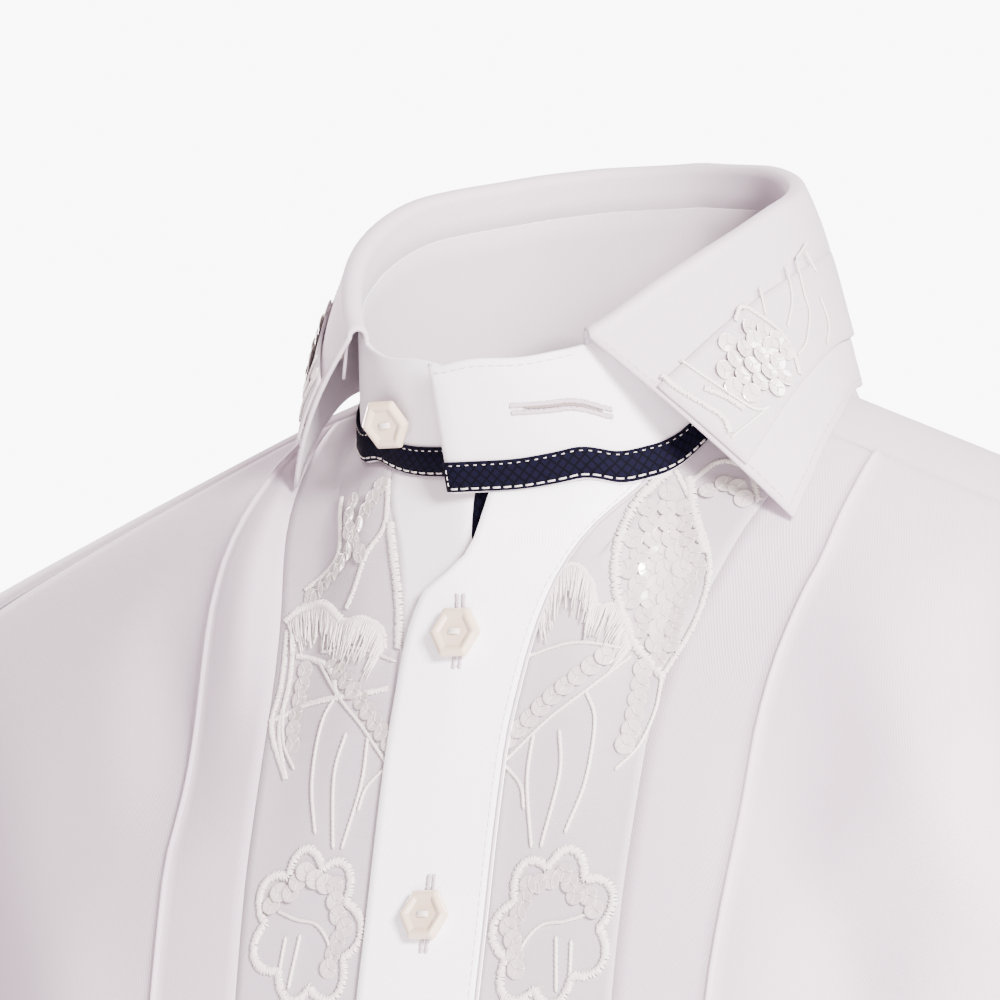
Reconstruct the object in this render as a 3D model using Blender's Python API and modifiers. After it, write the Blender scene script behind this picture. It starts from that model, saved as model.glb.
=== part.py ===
"""A white embroidered dress shirt, filled out with no wearer and held at the neck.

The origin is the centre of the neck base, between the shoulders. Front is -Y, the wearer's left is +X, +Z is up.
Sizes below are in millimetres and are turned into metres where each mesh is made.
Every grid of points runs from top to bottom in its rows, and from the front round by the wearer's left in its
columns, so that its faces point out of the body.
"""

import math

import bpy
import numpy as np
from mathutils import Vector
from mathutils.bvhtree import BVHTree

# Cloth walls and seams
WALL = 1.2
STAND_WALL = 1.6
FALL_WALL = 1.4
CUFF_WALL = 1.8
TRIM_WALL = 1.0
SEAM_GAP = 0.3
CURVED_SEAM_GAP = 0.6
LAYER_GAP = 0.3
PLACKET_GAP = 1.0
PLACKET_OVERLAP = 1.0
STAND_FOOT_GAP = 2.2
TUCK_HEIGHT = 1.1
TUCK_HALF_WIDTH = 1.3

# Shoulders: the ridge is a straight line on each side of the neck, raised where the neckline cuts it off
RIDGE_AT_CENTRE = 24.0
SHOULDER_SLOPE = 0.40
FRONT_REACH = 180.0
BACK_REACH = 160.0
FRONT_NECK_RISE = (19.0, 34.0, 62.0)
BACK_NECK_RISE = (28.0, 46.0, 66.0)
CORNER_FULLNESS = 0.08

# The wearer's right shoulder sits higher: how much, from which x to which, and between which heights it fades out
RIGHT_LIFT = 5.5
RIGHT_LIFT_X = (25.0, 100.0)
RIGHT_LIFT_Z = (-420.0, -60.0)

# Sections of the body: height, half width, depth in front, depth behind
BODY_SECTIONS = (
    (60.0, 250.0, 95.0, 110.0),
    (-40.0, 248.0, 95.0, 112.0),
    (-80.0, 240.0, 88.5, 114.0),
    (-120.0, 228.0, 94.0, 117.0),
    (-161.0, 215.0, 102.0, 119.0),
    (-200.0, 206.0, 110.0, 118.0),
    (-245.0, 200.0, 116.0, 116.0),
    (-330.0, 196.0, 115.0, 107.0),
    (-430.0, 191.0, 108.0, 98.0),
    (-560.0, 200.0, 111.0, 108.0),
    (-740.0, 208.0, 116.0, 116.0),
)

# Neckline, seen from above, and the collar's fold line above it
NECK_HALF_WIDTH = 66.0
NECK_OVALNESS = 0.88
FOLD_HALF_WIDTH = 60.0
FOLD_HALF_DEPTH = 75.0
FOLD_CENTRE_Y = -20.0
COLLAR_TILT = -0.05
FOLD_RADIUS = 2.6
FALL_START = 38.0

# Neckline by the angle round the neck from the centre front: degrees it lies before or behind the shoulder ridge
NECKLINE_TURNS = (
    (0.0, -57.0),
    (20.0, -53.2),
    (40.0, -47.4),
    (60.0, -35.6),
    (68.0, -28.3),
    (77.0, -18.66),
    (90.0, -5.0),
    (105.0, 8.0),
    (120.0, 19.0),
    (140.0, 31.0),
    (160.0, 35.0),
    (180.0, 38.7),
)

# Collar by the angle round the neck from the centre front: height of the fold line, depth of the roll
COLLAR_HEIGHTS = (
    (0.0, 0.4, 4.0),
    (10.0, 2.6, 4.0),
    (20.0, 3.2, 4.0),
    (30.0, 5.6, 4.0),
    (38.0, 9.0, 4.5),
    (50.0, 19.0, 7.0),
    (57.0, 25.0, 9.0),
    (75.0, 38.0, 13.0),
    (97.0, 51.0, 13.0),
    (110.0, 56.0, 13.0),
    (125.0, 61.0, 13.0),
    (140.0, 66.0, 13.0),
    (155.0, 69.5, 13.0),
    (180.0, 71.5, 13.0),
)

# Lower edge of the fall by the angle of the fold above it: x, y, and height above the shirt
FALL_EDGE = (
    (38.0, 85.0, -57.0, 6.0),
    (48.0, 86.5, -47.0, 5.0),
    (62.0, 86.5, -30.0, 4.0),
    (90.0, 82.0, 2.0, 4.0),
    (120.0, 62.0, 38.0, 11.0),
    (150.0, 36.0, 68.0, 20.0),
    (180.0, 0.0, 84.0, 26.0),
)
POINT_SHIFT = 9.5
FALL_BULGE = 3.0

# The open front: how far the lapped left end stands off, and where the stand's two ends lie
LAP_LIFT = 4.35
LAP_CLEAR_ANGLE = 75.0
LAP_FULL_ANGLE = 25.0
LEFT_END_ANGLE = -3.0
RIGHT_END_ANGLE = 366.0

# Lines of the left front by height: placket edge, placket seam, insert edge, tuck
LEFT_LINES = (
    (-20.0, 7.0, 54.0, 90.0, 107.0),
    (-37.0, 6.2, 49.0, 86.0, 107.0),
    (-52.0, 4.0, 38.0, 79.5, 105.5),
    (-61.0, -3.0, 32.5, 76.0, 104.0),
    (-67.0, -11.5, 29.0, 73.5, 102.0),
    (-81.0, -17.6, 24.0, 67.5, 98.0),
    (-94.0, -19.2, 21.5, 64.0, 95.5),
    (-115.0, -20.0, 19.5, 62.0, 94.0),
    (-150.0, -20.0, 19.3, 62.0, 93.0),
    (-200.0, -20.0, 19.3, 62.5, 91.5),
    (-740.0, -20.0, 19.3, 62.5, 91.0),
)

# Lines of the right front by height, measured towards the right: edge, tape, placket seam, insert edge, tuck
RIGHT_LINES = (
    (-20.0, -9.5, 0.5, 33.0, 78.0, 86.5),
    (-37.0, -10.0, 0.0, 31.0, 77.0, 87.5),
    (-52.0, -13.0, -4.2, 25.0, 75.5, 92.0),
    (-62.0, -15.0, -6.0, 23.2, 74.0, 96.0),
    (-80.0, -17.0, -8.0, 21.8, 71.5, 99.5),
    (-110.0, -19.0, -9.5, 20.5, 68.0, 99.5),
    (-150.0, -19.2, -10.0, 20.0, 66.0, 97.0),
    (-200.0, -19.2, -10.0, 20.0, 63.5, 94.5),
    (-740.0, -19.2, -10.0, 20.0, 62.5, 92.0),
)

# Seams of the shoulders, armholes and hem
FORWARD_SEAM_DROP = 9.5
YOKE_NECK_ANGLE = 77.0
YOKE_NECK_X = NECK_HALF_WIDTH * math.sin(math.radians(YOKE_NECK_ANGLE))
SHOULDER_TIP_X = 224.0
UNDERARM_Z = -245.0
ARMHOLE_HOLLOW = 28.0
BACK_SEAM_Z = -85.0
BACK_SEAM_FALL = 0.13
HEM_Z = -735.0
HEM_RISE = 60.0

# Sleeve sections: height, centre x, centre y, half width, half depth
SLEEVE_SECTIONS = (
    (-310.0, 273.0, 2.0, 60.0, 67.0),
    (-380.0, 285.0, 1.0, 56.0, 62.0),
    (-450.0, 297.0, -4.0, 51.0, 57.0),
    (-520.0, 309.0, -13.0, 46.0, 52.0),
    (-580.0, 318.0, -24.0, 43.0, 47.0),
    (-620.0, 323.0, -32.0, 38.0, 41.0),
    (-632.0, 324.5, -34.5, 35.0, 37.0),
    (-700.0, 331.0, -50.0, 36.0, 38.0),
)
SLEEVE_END_Z = -632.0
CUFF_END_Z = -698.0

# Soft folds of the front: centre x, centre z, lean in degrees, half length, half width, height
FRONT_FOLDS = (
    (152.0, -118.0, 52.0, 70.0, 17.0, 4.0),
    (128.0, -190.0, 72.0, 90.0, 20.0, -3.0),
    (170.0, -225.0, 35.0, 60.0, 16.0, 3.5),
    (-150.0, -160.0, -60.0, 80.0, 18.0, 3.0),
    (-120.0, -240.0, -75.0, 90.0, 18.0, -2.5),
    (120.0, -400.0, 65.0, 110.0, 18.0, 4.0),
    (-128.0, -430.0, -60.0, 110.0, 18.0, 4.0),
    (150.0, -560.0, 78.0, 110.0, 20.0, -3.5),
    (-140.0, -590.0, -80.0, 100.0, 20.0, -3.5),
)
BACK_FOLDS = (
    (70.0, -270.0, 82.0, 130.0, 20.0, 4.5),
    (-85.0, -300.0, -80.0, 140.0, 22.0, 4.0),
    (10.0, -400.0, 88.0, 150.0, 24.0, -4.0),
    (120.0, -480.0, 70.0, 110.0, 20.0, 4.0),
    (-130.0, -520.0, -72.0, 100.0, 20.0, 4.0),
)
# Soft folds of each sleeve: angle round the arm, height, lean in degrees, half length, half width, depth
LEFT_SLEEVE_FOLDS = (
    (70.0, -250.0, 40.0, 55.0, 14.0, 3.0),
    (20.0, -400.0, 60.0, 50.0, 11.0, -3.0),
    (60.0, -425.0, 25.0, 55.0, 10.0, 3.0),
    (150.0, -470.0, -30.0, 60.0, 12.0, 3.0),
    (250.0, -440.0, 50.0, 50.0, 12.0, -3.0),
    (330.0, -520.0, -60.0, 60.0, 11.0, 3.0),
    (110.0, -570.0, 75.0, 50.0, 10.0, -2.5),
)
RIGHT_SLEEVE_FOLDS = (
    (80.0, -265.0, 35.0, 60.0, 14.0, 3.0),
    (35.0, -430.0, 50.0, 55.0, 11.0, -3.0),
    (80.0, -405.0, 20.0, 50.0, 11.0, 3.0),
    (170.0, -445.0, -35.0, 60.0, 12.0, 3.0),
    (265.0, -465.0, 45.0, 50.0, 12.0, -3.0),
    (320.0, -545.0, -55.0, 55.0, 10.0, 2.5),
    (120.0, -590.0, 70.0, 45.0, 10.0, -2.5),
)

# Buttons: six-sided, with a raised rim round a dished face
BUTTON_RADIUS = 8.3
BUTTON_THICKNESS = 3.0
BUTTON_SIDES = 6
BUTTON_LIFT = 0.4
BUTTON_X = 1.0
BUTTON_HEIGHTS = (-80.0, -162.0, -243.0, -325.0, -407.0, -489.0, -571.0)
NECK_BUTTON_ANGLE = -24.0
NECK_BUTTON_HEIGHT = 19.5
SMALL_BUTTON_SCALE = 0.72

# Ribbon round the stand's lower edge
RIBBON_WIDTH = 8.5
RIBBON_FROM_EDGE = 0.6
RIBBON_GAP = 0.25

# Embroidered patch on each end of the fall
PATCH_TOP = 0.30
PATCH_BOTTOM = 0.74
PATCH_END = 116.0

# Tab behind each collar point
TAB_LENGTH = 24.0
TAB_HALF_WIDTH = 5.5
TAB_ANGLE = 52.0
TAB_END_SHARE = 0.55
TAB_DROP = 0.1
TAB_LEAN = 0.12
TAB_BUTTON_SHARE = 0.6
TAB_BUTTON_SCALE = 0.6

# Raised satin borders of the large flowers on the inserts: distance from the centre line, height, radius, lobes
FLOWERS = (
    (41.0, -166.0, 16.5, 7),
    (41.0, -330.0, 16.5, 7),
    (41.0, -495.0, 16.5, 7),
)
LOBE_DEPTH = 0.14
BORDER_WIDTH = 2.6
BORDER_HEIGHT = 1.0
FLOWER_STRETCH = 1.25
FLOWER_GAP = 0.45
BORDER_STATIONS = 35

# Cuff: angle where its lap starts, and how far it laps, in degrees
CUFF_LAP_FROM = 95.0
CUFF_LAP = 24.0

# How finely each grid is divided
ARM_ROWS = 8
BODY_ROWS = 10
TOP_CROWDING = 1.4
UNDERARM_V = 0.3
NEAR_SHARES = (0.0, 0.5)
TUCK_PROFILE = ((-1.0, 0.0), (0.0, 1.0), (1.0, 0.0))
FAR_SHARES = (0.14, 0.3, 0.46, 0.62, 0.76, 0.89, 1.0)
INSERT_COLUMNS = 6
PLACKET_COLUMNS = 6
YOKE_ROWS = 10
YOKE_ARM_COLUMNS = 6
YOKE_BACK_COLUMNS = 20
ARM_SHARE = 0.2
SLEEVE_HEAD_STATIONS = (0.0, 0.08, 0.18, 0.3, 0.44, 0.6, 0.78)
SLEEVE_ROWS = 11
CUFF_COLUMNS = 34
CUFF_ROWS = 5
STAND_STEPS = (12, 22, 11)
STAND_SHARES = (1.0, 0.66, 0.33, 0.0)
RIBBON_SHARES = (1.0, 0.5, 0.0)
FALL_STEPS = (8, 19, 8)
FOLD_SWING = (0.0, 45.0, 90.0, 135.0)
LEAF_SHARES = (0.0, 0.12, 0.3, 0.5, 0.74, 1.0)
PATCH_COLUMNS = 15
PATCH_ROWS = 5
TAB_SHARES = (0.0, 0.35, 0.7, 0.88, 1.0)

COLLECTION_NAME = "embroidered_shirt"
COLOURS = {
    "white_twill": (0.87, 0.85, 0.87, 1.0),
    "sheer_net": (0.80, 0.77, 0.79, 1.0),
    "navy": (0.018, 0.017, 0.065, 1.0),
    "ivory_thread": (0.86, 0.83, 0.78, 1.0),
    "cream_button": (0.83, 0.73, 0.63, 1.0),
}
ROUGHNESS = {
    "white_twill": 0.75,
    "sheer_net": 0.6,
    "navy": 0.7,
    "ivory_thread": 0.45,
    "cream_button": 0.25,
}


def clear_scene():
    for thing in list(bpy.data.objects):
        bpy.data.objects.remove(thing, do_unlink=True)


def make_material(name):
    material = bpy.data.materials.new(name)
    material.use_nodes = True
    shader = material.node_tree.nodes["Principled BSDF"]
    shader.inputs["Base Color"].default_value = COLOURS[name]
    shader.inputs["Roughness"].default_value = ROUGHNESS[name]
    shader.inputs["Metallic"].default_value = 0.0
    return material


def curve_through(stations, values):
    """A smooth curve through one column of a table, with no overshoot between its rows."""
    order = np.argsort(stations)
    s = np.asarray(stations, float)[order]
    v = np.asarray(values, float)[order]
    step = np.diff(s)
    slope = np.diff(v) / step
    tangent = np.zeros(len(s))
    tangent[0] = slope[0]
    tangent[-1] = slope[-1]
    product = slope[:-1] * slope[1:]
    turning = product <= 0
    total = np.where(turning, 1.0, slope[:-1] + slope[1:])
    tangent[1:-1] = np.where(turning, 0.0, 2 * product / total)

    def at(x):
        x = np.clip(x, s[0], s[-1])
        i = np.clip(np.searchsorted(s, x) - 1, 0, len(step) - 1)
        t = (x - s[i]) / step[i]
        rise = v[i] * (1 - t) ** 2 * (1 + 2 * t) + v[i + 1] * t**2 * (3 - 2 * t)
        bend = t * (1 - t) * (tangent[i] * (1 - t) - tangent[i + 1] * t)
        return rise + step[i] * bend

    return at


def columns(table):
    """One smooth curve for each column of a table after its first."""
    data = np.array(table)
    return [curve_through(data[:, 0], data[:, k]) for k in range(1, data.shape[1])]


def smooth_step(x, low, high):
    t = np.clip((x - low) / (high - low), 0.0, 1.0)
    return t * t * (3 - 2 * t)


half_width_at, front_depth_at, back_depth_at = columns(BODY_SECTIONS)
fold_height_at, roll_at = columns(COLLAR_HEIGHTS)
edge_x_at, edge_y_at, edge_clear_at = columns(FALL_EDGE)
(neck_turn_at,) = columns(NECKLINE_TURNS)
left_edge_at, left_seam_at, left_insert_at, left_tuck_at = columns(LEFT_LINES)
right_edge_at, right_tape_at, right_seam_at, right_insert_at, right_tuck_at = columns(RIGHT_LINES)
sleeve_x_at, sleeve_y_at, sleeve_width_at, sleeve_depth_at = columns(SLEEVE_SECTIONS)

ANGLE_STEPS = np.linspace(0.0, math.pi / 2, 400)
WIDTH_STEPS = np.sin(ANGLE_STEPS) * (1 + CORNER_FULLNESS * np.sin(2 * ANGLE_STEPS) ** 2)


def fold_relief(x, z, folds):
    """Height of the soft folds at a place, each one a long low ridge or trough."""
    relief = np.zeros(np.broadcast(x, z).shape)
    for centre_x, centre_z, lean, half_length, half_width, height in folds:
        across = math.cos(math.radians(lean)), math.sin(math.radians(lean))
        along = (x - centre_x) * across[0] + (z - centre_z) * across[1]
        aside = -(x - centre_x) * across[1] + (z - centre_z) * across[0]
        relief = relief + height * np.exp(-((along / half_length) ** 2) - (aside / half_width) ** 2)
    return relief


def ridge(x, rise):
    """Height of the shoulder ridge over x. Its rise inside the neckline carries the neck's curve."""
    height, inner, outer = rise
    near_neck = height * (1 - smooth_step(np.abs(x), inner, outer))
    return RIDGE_AT_CENTRE - SHOULDER_SLOPE * np.abs(x) + near_neck


def angle_of(x, z):
    """Angle round the body of a front point, from its x and height."""
    share = np.abs(x) / half_width_at(z)
    return np.interp(share, WIDTH_STEPS, ANGLE_STEPS)


def fullness(depth, reach):
    share = np.clip(depth / reach, 0.0, 1.0)
    return np.sqrt(1 - (1 - share) ** 2)


def body_point(angle, z):
    """The inside of the cloth at an angle round the body, 0 at the centre front and 90 degrees at the left side."""
    bulge = 1 + CORNER_FULLNESS * np.sin(2 * angle) ** 2
    x = half_width_at(z) * np.sin(angle) * bulge
    forward = np.cos(angle) * bulge
    front = np.cos(angle) > 0
    drop_front = fullness(ridge(x, FRONT_NECK_RISE) - z, FRONT_REACH)
    drop_back = fullness(ridge(x, BACK_NECK_RISE) - z, BACK_REACH)
    y_front = -(front_depth_at(z) * drop_front + fold_relief(x, z, FRONT_FOLDS)) * forward
    y_back = -(back_depth_at(z) * drop_back + fold_relief(x, z, BACK_FOLDS)) * forward
    y = np.where(front, y_front, y_back)
    return np.stack(np.broadcast_arrays(x, y, z), axis=-1)


def shoulder_point(x, turn):
    """The inside of the cloth over a shoulder. The turn runs from -90 degrees in front, over the ridge, to 90 behind."""
    front = turn < 0
    reach = np.where(front, FRONT_REACH, BACK_REACH)
    top = np.where(front, ridge(x, FRONT_NECK_RISE), ridge(x, BACK_NECK_RISE))
    z = top - reach * (1 - np.cos(turn))
    depth = np.where(front, front_depth_at(z), back_depth_at(z))
    relief = np.where(front, fold_relief(x, z, FRONT_FOLDS), fold_relief(x, z, BACK_FOLDS))
    angle = angle_of(x, z)
    forward = np.cos(angle) * (1 + CORNER_FULLNESS * np.sin(2 * angle) ** 2)
    y = (depth * np.sin(turn) + relief * np.sign(turn)) * forward
    return np.stack(np.broadcast_arrays(x, y, z), axis=-1)


def unit(vectors):
    return vectors / np.linalg.norm(vectors, axis=-1, keepdims=True)


def body_layer(angle, z, lift):
    """Points of the body moved out from the inside of the cloth."""
    turn = 1e-3
    drop = 0.05
    round_body = body_point(angle + turn, z) - body_point(angle - turn, z)
    down_body = body_point(angle, z - drop) - body_point(angle, z + drop)
    normal = unit(np.cross(down_body, round_body))
    return body_point(angle, z) + normal * np.asarray(lift)[..., None]


def shoulder_normal(x, turn):
    across = 0.05
    swing = 1e-3
    out = shoulder_point(x - across, turn) - shoulder_point(x + across, turn)
    back = shoulder_point(x, turn + swing) - shoulder_point(x, turn - swing)
    normal = unit(np.cross(back, out))
    return normal * np.where(normal[..., 2:] < 0, -1.0, 1.0)


def coons(top, bottom, left, right, us, vs):
    """A grid of parameter pairs between four edges. Each edge is a function from 0 to 1."""
    u = us[None, :, None]
    v = vs[:, None, None]
    across = (1 - v) * top(us)[None] + v * bottom(us)[None]
    down = (1 - u) * left(vs)[:, None] + u * right(vs)[:, None]
    zero = np.array([0.0])
    one = np.array([1.0])
    corners = (1 - u) * (1 - v) * top(zero)[None] + u * (1 - v) * top(one)[None]
    corners = corners + (1 - u) * v * bottom(zero)[None] + u * v * bottom(one)[None]
    return across + down - corners


def settled(points):
    """The points with the right shoulder lifted, as all the cloth over it is."""
    points = np.array(points, float)
    sideways = smooth_step(-points[..., 0], *RIGHT_LIFT_X)
    upward = smooth_step(points[..., 2], *RIGHT_LIFT_Z)
    points[..., 2] += RIGHT_LIFT * sideways * upward
    return points


def inset(grid, gap):
    """The grid drawn in by the gap along its edges."""
    grid = grid.copy()
    grid[0] += unit(grid[1] - grid[0]) * gap
    grid[-1] += unit(grid[-2] - grid[-1]) * gap
    grid[:, 0] += unit(grid[:, 1] - grid[:, 0]) * gap
    grid[:, -1] += unit(grid[:, -2] - grid[:, -1]) * gap
    return grid


def mirrored(grid):
    return (grid * np.array([-1.0, 1.0, 1.0]))[:, ::-1]


def cloth(name, grid, wall, material, closed=False, offset=1.0, raised=None):
    """A cloth wall over a grid. The wall grows outwards, or to both sides for an offset of 0.

    raised is the height of the wall's outer face over each point of the grid, where it isn't plain.
    """
    rows, across = grid.shape[:2]
    step = np.arange(across if closed else across - 1)
    following = (step + 1) % across
    faces = []
    for row in range(rows - 1):
        upper = row * across
        lower = upper + across
        for near, far in zip(step, following):
            faces.append((upper + near, lower + near, lower + far, upper + far))
    mesh = bpy.data.meshes.new(name)
    mesh.from_pydata((grid.reshape(-1, 3) * 0.001).tolist(), [], [tuple(map(int, face)) for face in faces])
    mesh.materials.append(material)
    mesh.shade_smooth()
    piece = bpy.data.objects.new(name, mesh)
    bpy.data.collections[COLLECTION_NAME].objects.link(piece)
    solidify = piece.modifiers.new("wall", "SOLIDIFY")
    solidify.thickness = wall * 0.001
    solidify.offset = offset
    if raised is not None:
        height = raised.max()
        group = piece.vertex_groups.new(name="height")
        for index, share in enumerate((raised / height).reshape(-1)):
            group.add([index], float(share), "REPLACE")
        solidify.thickness = height * 0.001
        solidify.vertex_group = "height"
    return piece


def table_angle(angle):
    """Degrees from the centre front, the same for both sides."""
    turned = np.degrees(angle) % 360
    return np.where(turned > 180, 360 - turned, turned)


def neckline(angle):
    """x, turn over the shoulder, and inside point of the neckline at an angle round the neck."""
    x = NECK_HALF_WIDTH * np.sin(angle)
    turn = np.radians(neck_turn_at(table_angle(angle)))
    return x, turn, shoulder_point(x, turn)


def height_over(x, y):
    """Height of the shirt's inside over a place of the shoulders."""
    front = y < 0
    reach = np.where(front, FRONT_REACH, BACK_REACH)
    top = np.where(front, ridge(x, FRONT_NECK_RISE), ridge(x, BACK_NECK_RISE))
    z = top
    for _ in range(40):
        depth = np.where(front, front_depth_at(z), back_depth_at(z))
        around = angle_of(x, z)
        forward = np.cos(around) * (1 + CORNER_FULLNESS * np.sin(2 * around) ** 2)
        share = np.clip(np.abs(y) / (depth * forward), 0.0, 0.98)
        z = top - reach * (1 - np.sqrt(1 - share**2))
    return z


def neck_edge(x):
    """Body angle and height of the front neckline over x, for x up to the yoke."""
    angle = np.arcsin(np.clip(np.abs(x) / NECK_HALF_WIDTH, 0.0, 1.0))
    z = neckline(angle)[2][..., 2]
    return np.sign(x) * angle_of(x, z), z


def forward_seam(x):
    z = ridge(x, FRONT_NECK_RISE) - FORWARD_SEAM_DROP - CURVED_SEAM_GAP
    return angle_of(x, z), z


def hem_height(angle):
    return HEM_Z + HEM_RISE * np.sin(angle) ** 4


def armhole(t):
    """x and height along the armhole, from 0 at the shoulder tip to 1 at the underarm."""
    tip = ridge(SHOULDER_TIP_X, FRONT_NECK_RISE)
    z = tip + (UNDERARM_Z - tip) * t
    foot = half_width_at(UNDERARM_Z)
    x = SHOULDER_TIP_X + (foot - SHOULDER_TIP_X) * t - ARMHOLE_HOLLOW * np.sin(math.pi * t)
    return x, z


def armhole_angle(t):
    x, z = armhole(t)
    return np.where(t > 1 - 1e-6, math.pi / 2, angle_of(x, z)), z


TIP_Z = RIDGE_AT_CENTRE - SHOULDER_SLOPE * SHOULDER_TIP_X
FORWARD_T = FORWARD_SEAM_DROP / (TIP_Z - UNDERARM_Z)
BACK_SEAM_END_Z = BACK_SEAM_Z - BACK_SEAM_FALL * SHOULDER_TIP_X
BACK_T = (TIP_Z - BACK_SEAM_END_Z) / (TIP_Z - UNDERARM_Z)
FRONT_ARM_STATIONS = FORWARD_T + (1 - FORWARD_T) * np.linspace(0, 1, ARM_ROWS + 1) ** 1.15
BACK_ARM_STATIONS = BACK_T + (1 - BACK_T) * np.linspace(0, 1, ARM_ROWS)


def upper_stations(count):
    return UNDERARM_V * np.linspace(0, 1, count) ** TOP_CROWDING


def row_stations(count):
    """Rows of a body panel: some along the armhole, closer at the top, and the rest below it."""
    upper = upper_stations(count)
    lower = np.linspace(UNDERARM_V, 1, BODY_ROWS + 1)[1:]
    return np.concatenate([upper, lower])


def height_between(v, top, bottom):
    return np.interp(v, [0.0, UNDERARM_V, 1.0], [top, UNDERARM_Z, bottom])


def line_edge(line, top_of):
    """A lengthwise seam of the front from its top edge to the hem, as body angle and height."""
    top = -20.0
    for _ in range(12):
        top = float(top_of(np.array([line(top)]))[1][0])

    def edge(v):
        z = height_between(v, top, HEM_Z)
        x = line(z)
        angle = np.sign(x) * angle_of(x, z)
        z = np.where(z < UNDERARM_Z, height_between(v, top, hem_height(angle[-1:])[0]), z)
        return np.stack([angle, z], axis=-1)

    return edge


def moved_aside(edge, distance):
    """A lengthwise edge moved round the body by a distance."""

    def moved(v):
        cells = edge(v)
        cells[..., 0] += distance / half_width_at(cells[..., 1])
        return cells

    return moved


def hem_edge(left, right):
    first = left(np.array([1.0]))[0, 0]
    last = right(np.array([1.0]))[0, 0]

    def edge(u):
        angle = first + (last - first) * u
        return np.stack([angle, hem_height(angle)], axis=-1)

    return edge


def top_edge(left, right, top_of):
    """The top of a front piece: the part of the neckline and yoke seam between its two side edges."""
    first = left(np.array([0.0]))[0]
    last = right(np.array([0.0]))[0]
    x_first = body_point(first[0], first[1])[0]
    x_last = body_point(last[0], last[1])[0]

    def edge(u):
        return np.stack(top_of(x_first + (x_last - x_first) * u), axis=-1)

    return edge


def front_top(x):
    """The neckline inside the yoke's end, and the yoke seam outside it."""
    inside = np.abs(x) < YOKE_NECK_X
    neck_angle, neck_z = neck_edge(np.where(inside, x, YOKE_NECK_X))
    seam_angle, seam_z = forward_seam(np.abs(x))
    return np.where(inside, neck_angle, seam_angle), np.where(inside, neck_z, seam_z)


def lap_lift(angle, z):
    """How far the open left front stands off near the collar."""
    x = half_width_at(z) * np.sin(angle)
    sideways = 1 - smooth_step(x, 22.0, 66.0)
    upward = smooth_step(z, -118.0, -42.0)
    return (LAP_LIFT - WALL - PLACKET_GAP) * sideways * upward


def strip(left_line, right_line, across):
    """Grid of body angles and heights for a lengthwise strip of the front."""
    left = line_edge(left_line, front_top)
    right = line_edge(right_line, front_top)
    vs = row_stations(ARM_ROWS + 1)
    return coons(
        top_edge(left, right, front_top), hem_edge(left, right), left, right, across, vs
    )


def front_side(tuck_line, insert_line):
    """Grid for a front between its insert and the armhole and side seam, with the tuck's ridge on three columns."""
    inner = line_edge(insert_line, front_top)
    tuck = line_edge(tuck_line, front_top)
    vs = row_stations(ARM_ROWS + 1)

    def outer(v):
        t = np.interp(v, upper_stations(ARM_ROWS + 1), FRONT_ARM_STATIONS)
        angle, z = armhole_angle(t)
        below = v > UNDERARM_V
        z = np.where(below, height_between(v, TIP_Z, hem_height(math.pi / 2)), z)
        return np.stack([np.where(below, math.pi / 2, angle), z], axis=-1)

    before = moved_aside(tuck, -TUCK_HALF_WIDTH)
    behind = moved_aside(tuck, TUCK_HALF_WIDTH)
    near_top = top_edge(inner, before, front_top)
    near = coons(near_top, hem_edge(inner, before), inner, before, np.array(NEAR_SHARES), vs)
    far_top = top_edge(behind, outer, front_top)
    far = coons(far_top, hem_edge(behind, outer), behind, outer, np.array(FAR_SHARES), vs)
    middle = tuck(vs)[:, None]
    beside = TUCK_HALF_WIDTH / half_width_at(middle[..., 1])
    steps = np.array([offset for offset, _ in TUCK_PROFILE])
    around = np.stack(np.broadcast_arrays(middle[..., 0] + beside * steps, middle[..., 1]), axis=-1)
    return np.concatenate([near, around, far], axis=1)


def on_body(cells, side, lift=0.0):
    """Points of the body over cells of the left front, or over the same cells of the right one."""
    if side == "right":
        cells = cells[:, ::-1] * np.array([-1.0, 1.0])
    lifts = np.broadcast_to(lift, cells.shape[:2])
    return settled(inset(body_layer(cells[..., 0], cells[..., 1], lifts), SEAM_GAP / 2))


def front_grid(side):
    """A front, and the height of its outer face over each point, which is raised along the tuck."""
    line = (left_tuck_at, left_insert_at) if side == "left" else (right_tuck_at, right_insert_at)
    cells = front_side(*line)
    lift = lap_lift(cells[..., 0], cells[..., 1]) if side == "left" else 0.0
    grid = on_body(cells, side, lift)
    raised = np.full(grid.shape[:2], WALL)
    for column, (_, share) in enumerate(TUCK_PROFILE, start=len(NEAR_SHARES)):
        raised[:, column] = WALL + TUCK_HEIGHT * share
    return grid, raised if side == "left" else raised[:, ::-1]


def insert_grid(side):
    across = np.linspace(0, 1, INSERT_COLUMNS)
    if side == "left":
        cells = strip(left_seam_at, left_insert_at, across)
        return on_body(cells, side, lap_lift(cells[..., 0], cells[..., 1]))
    return on_body(strip(right_seam_at, right_insert_at, across), side)


def placket_left_grid():
    """The left placket laps over the right one and over the edge of its own insert."""
    cells = strip(left_edge_at, lambda z: left_seam_at(z) + PLACKET_OVERLAP, np.linspace(0, 1, PLACKET_COLUMNS))
    return on_body(cells, "left", WALL + PLACKET_GAP + lap_lift(cells[..., 0], cells[..., 1]))


def placket_right_grid(outer_line, inner_line, count):
    return on_body(strip(outer_line, inner_line, np.linspace(0, 1, count)), "right")


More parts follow.
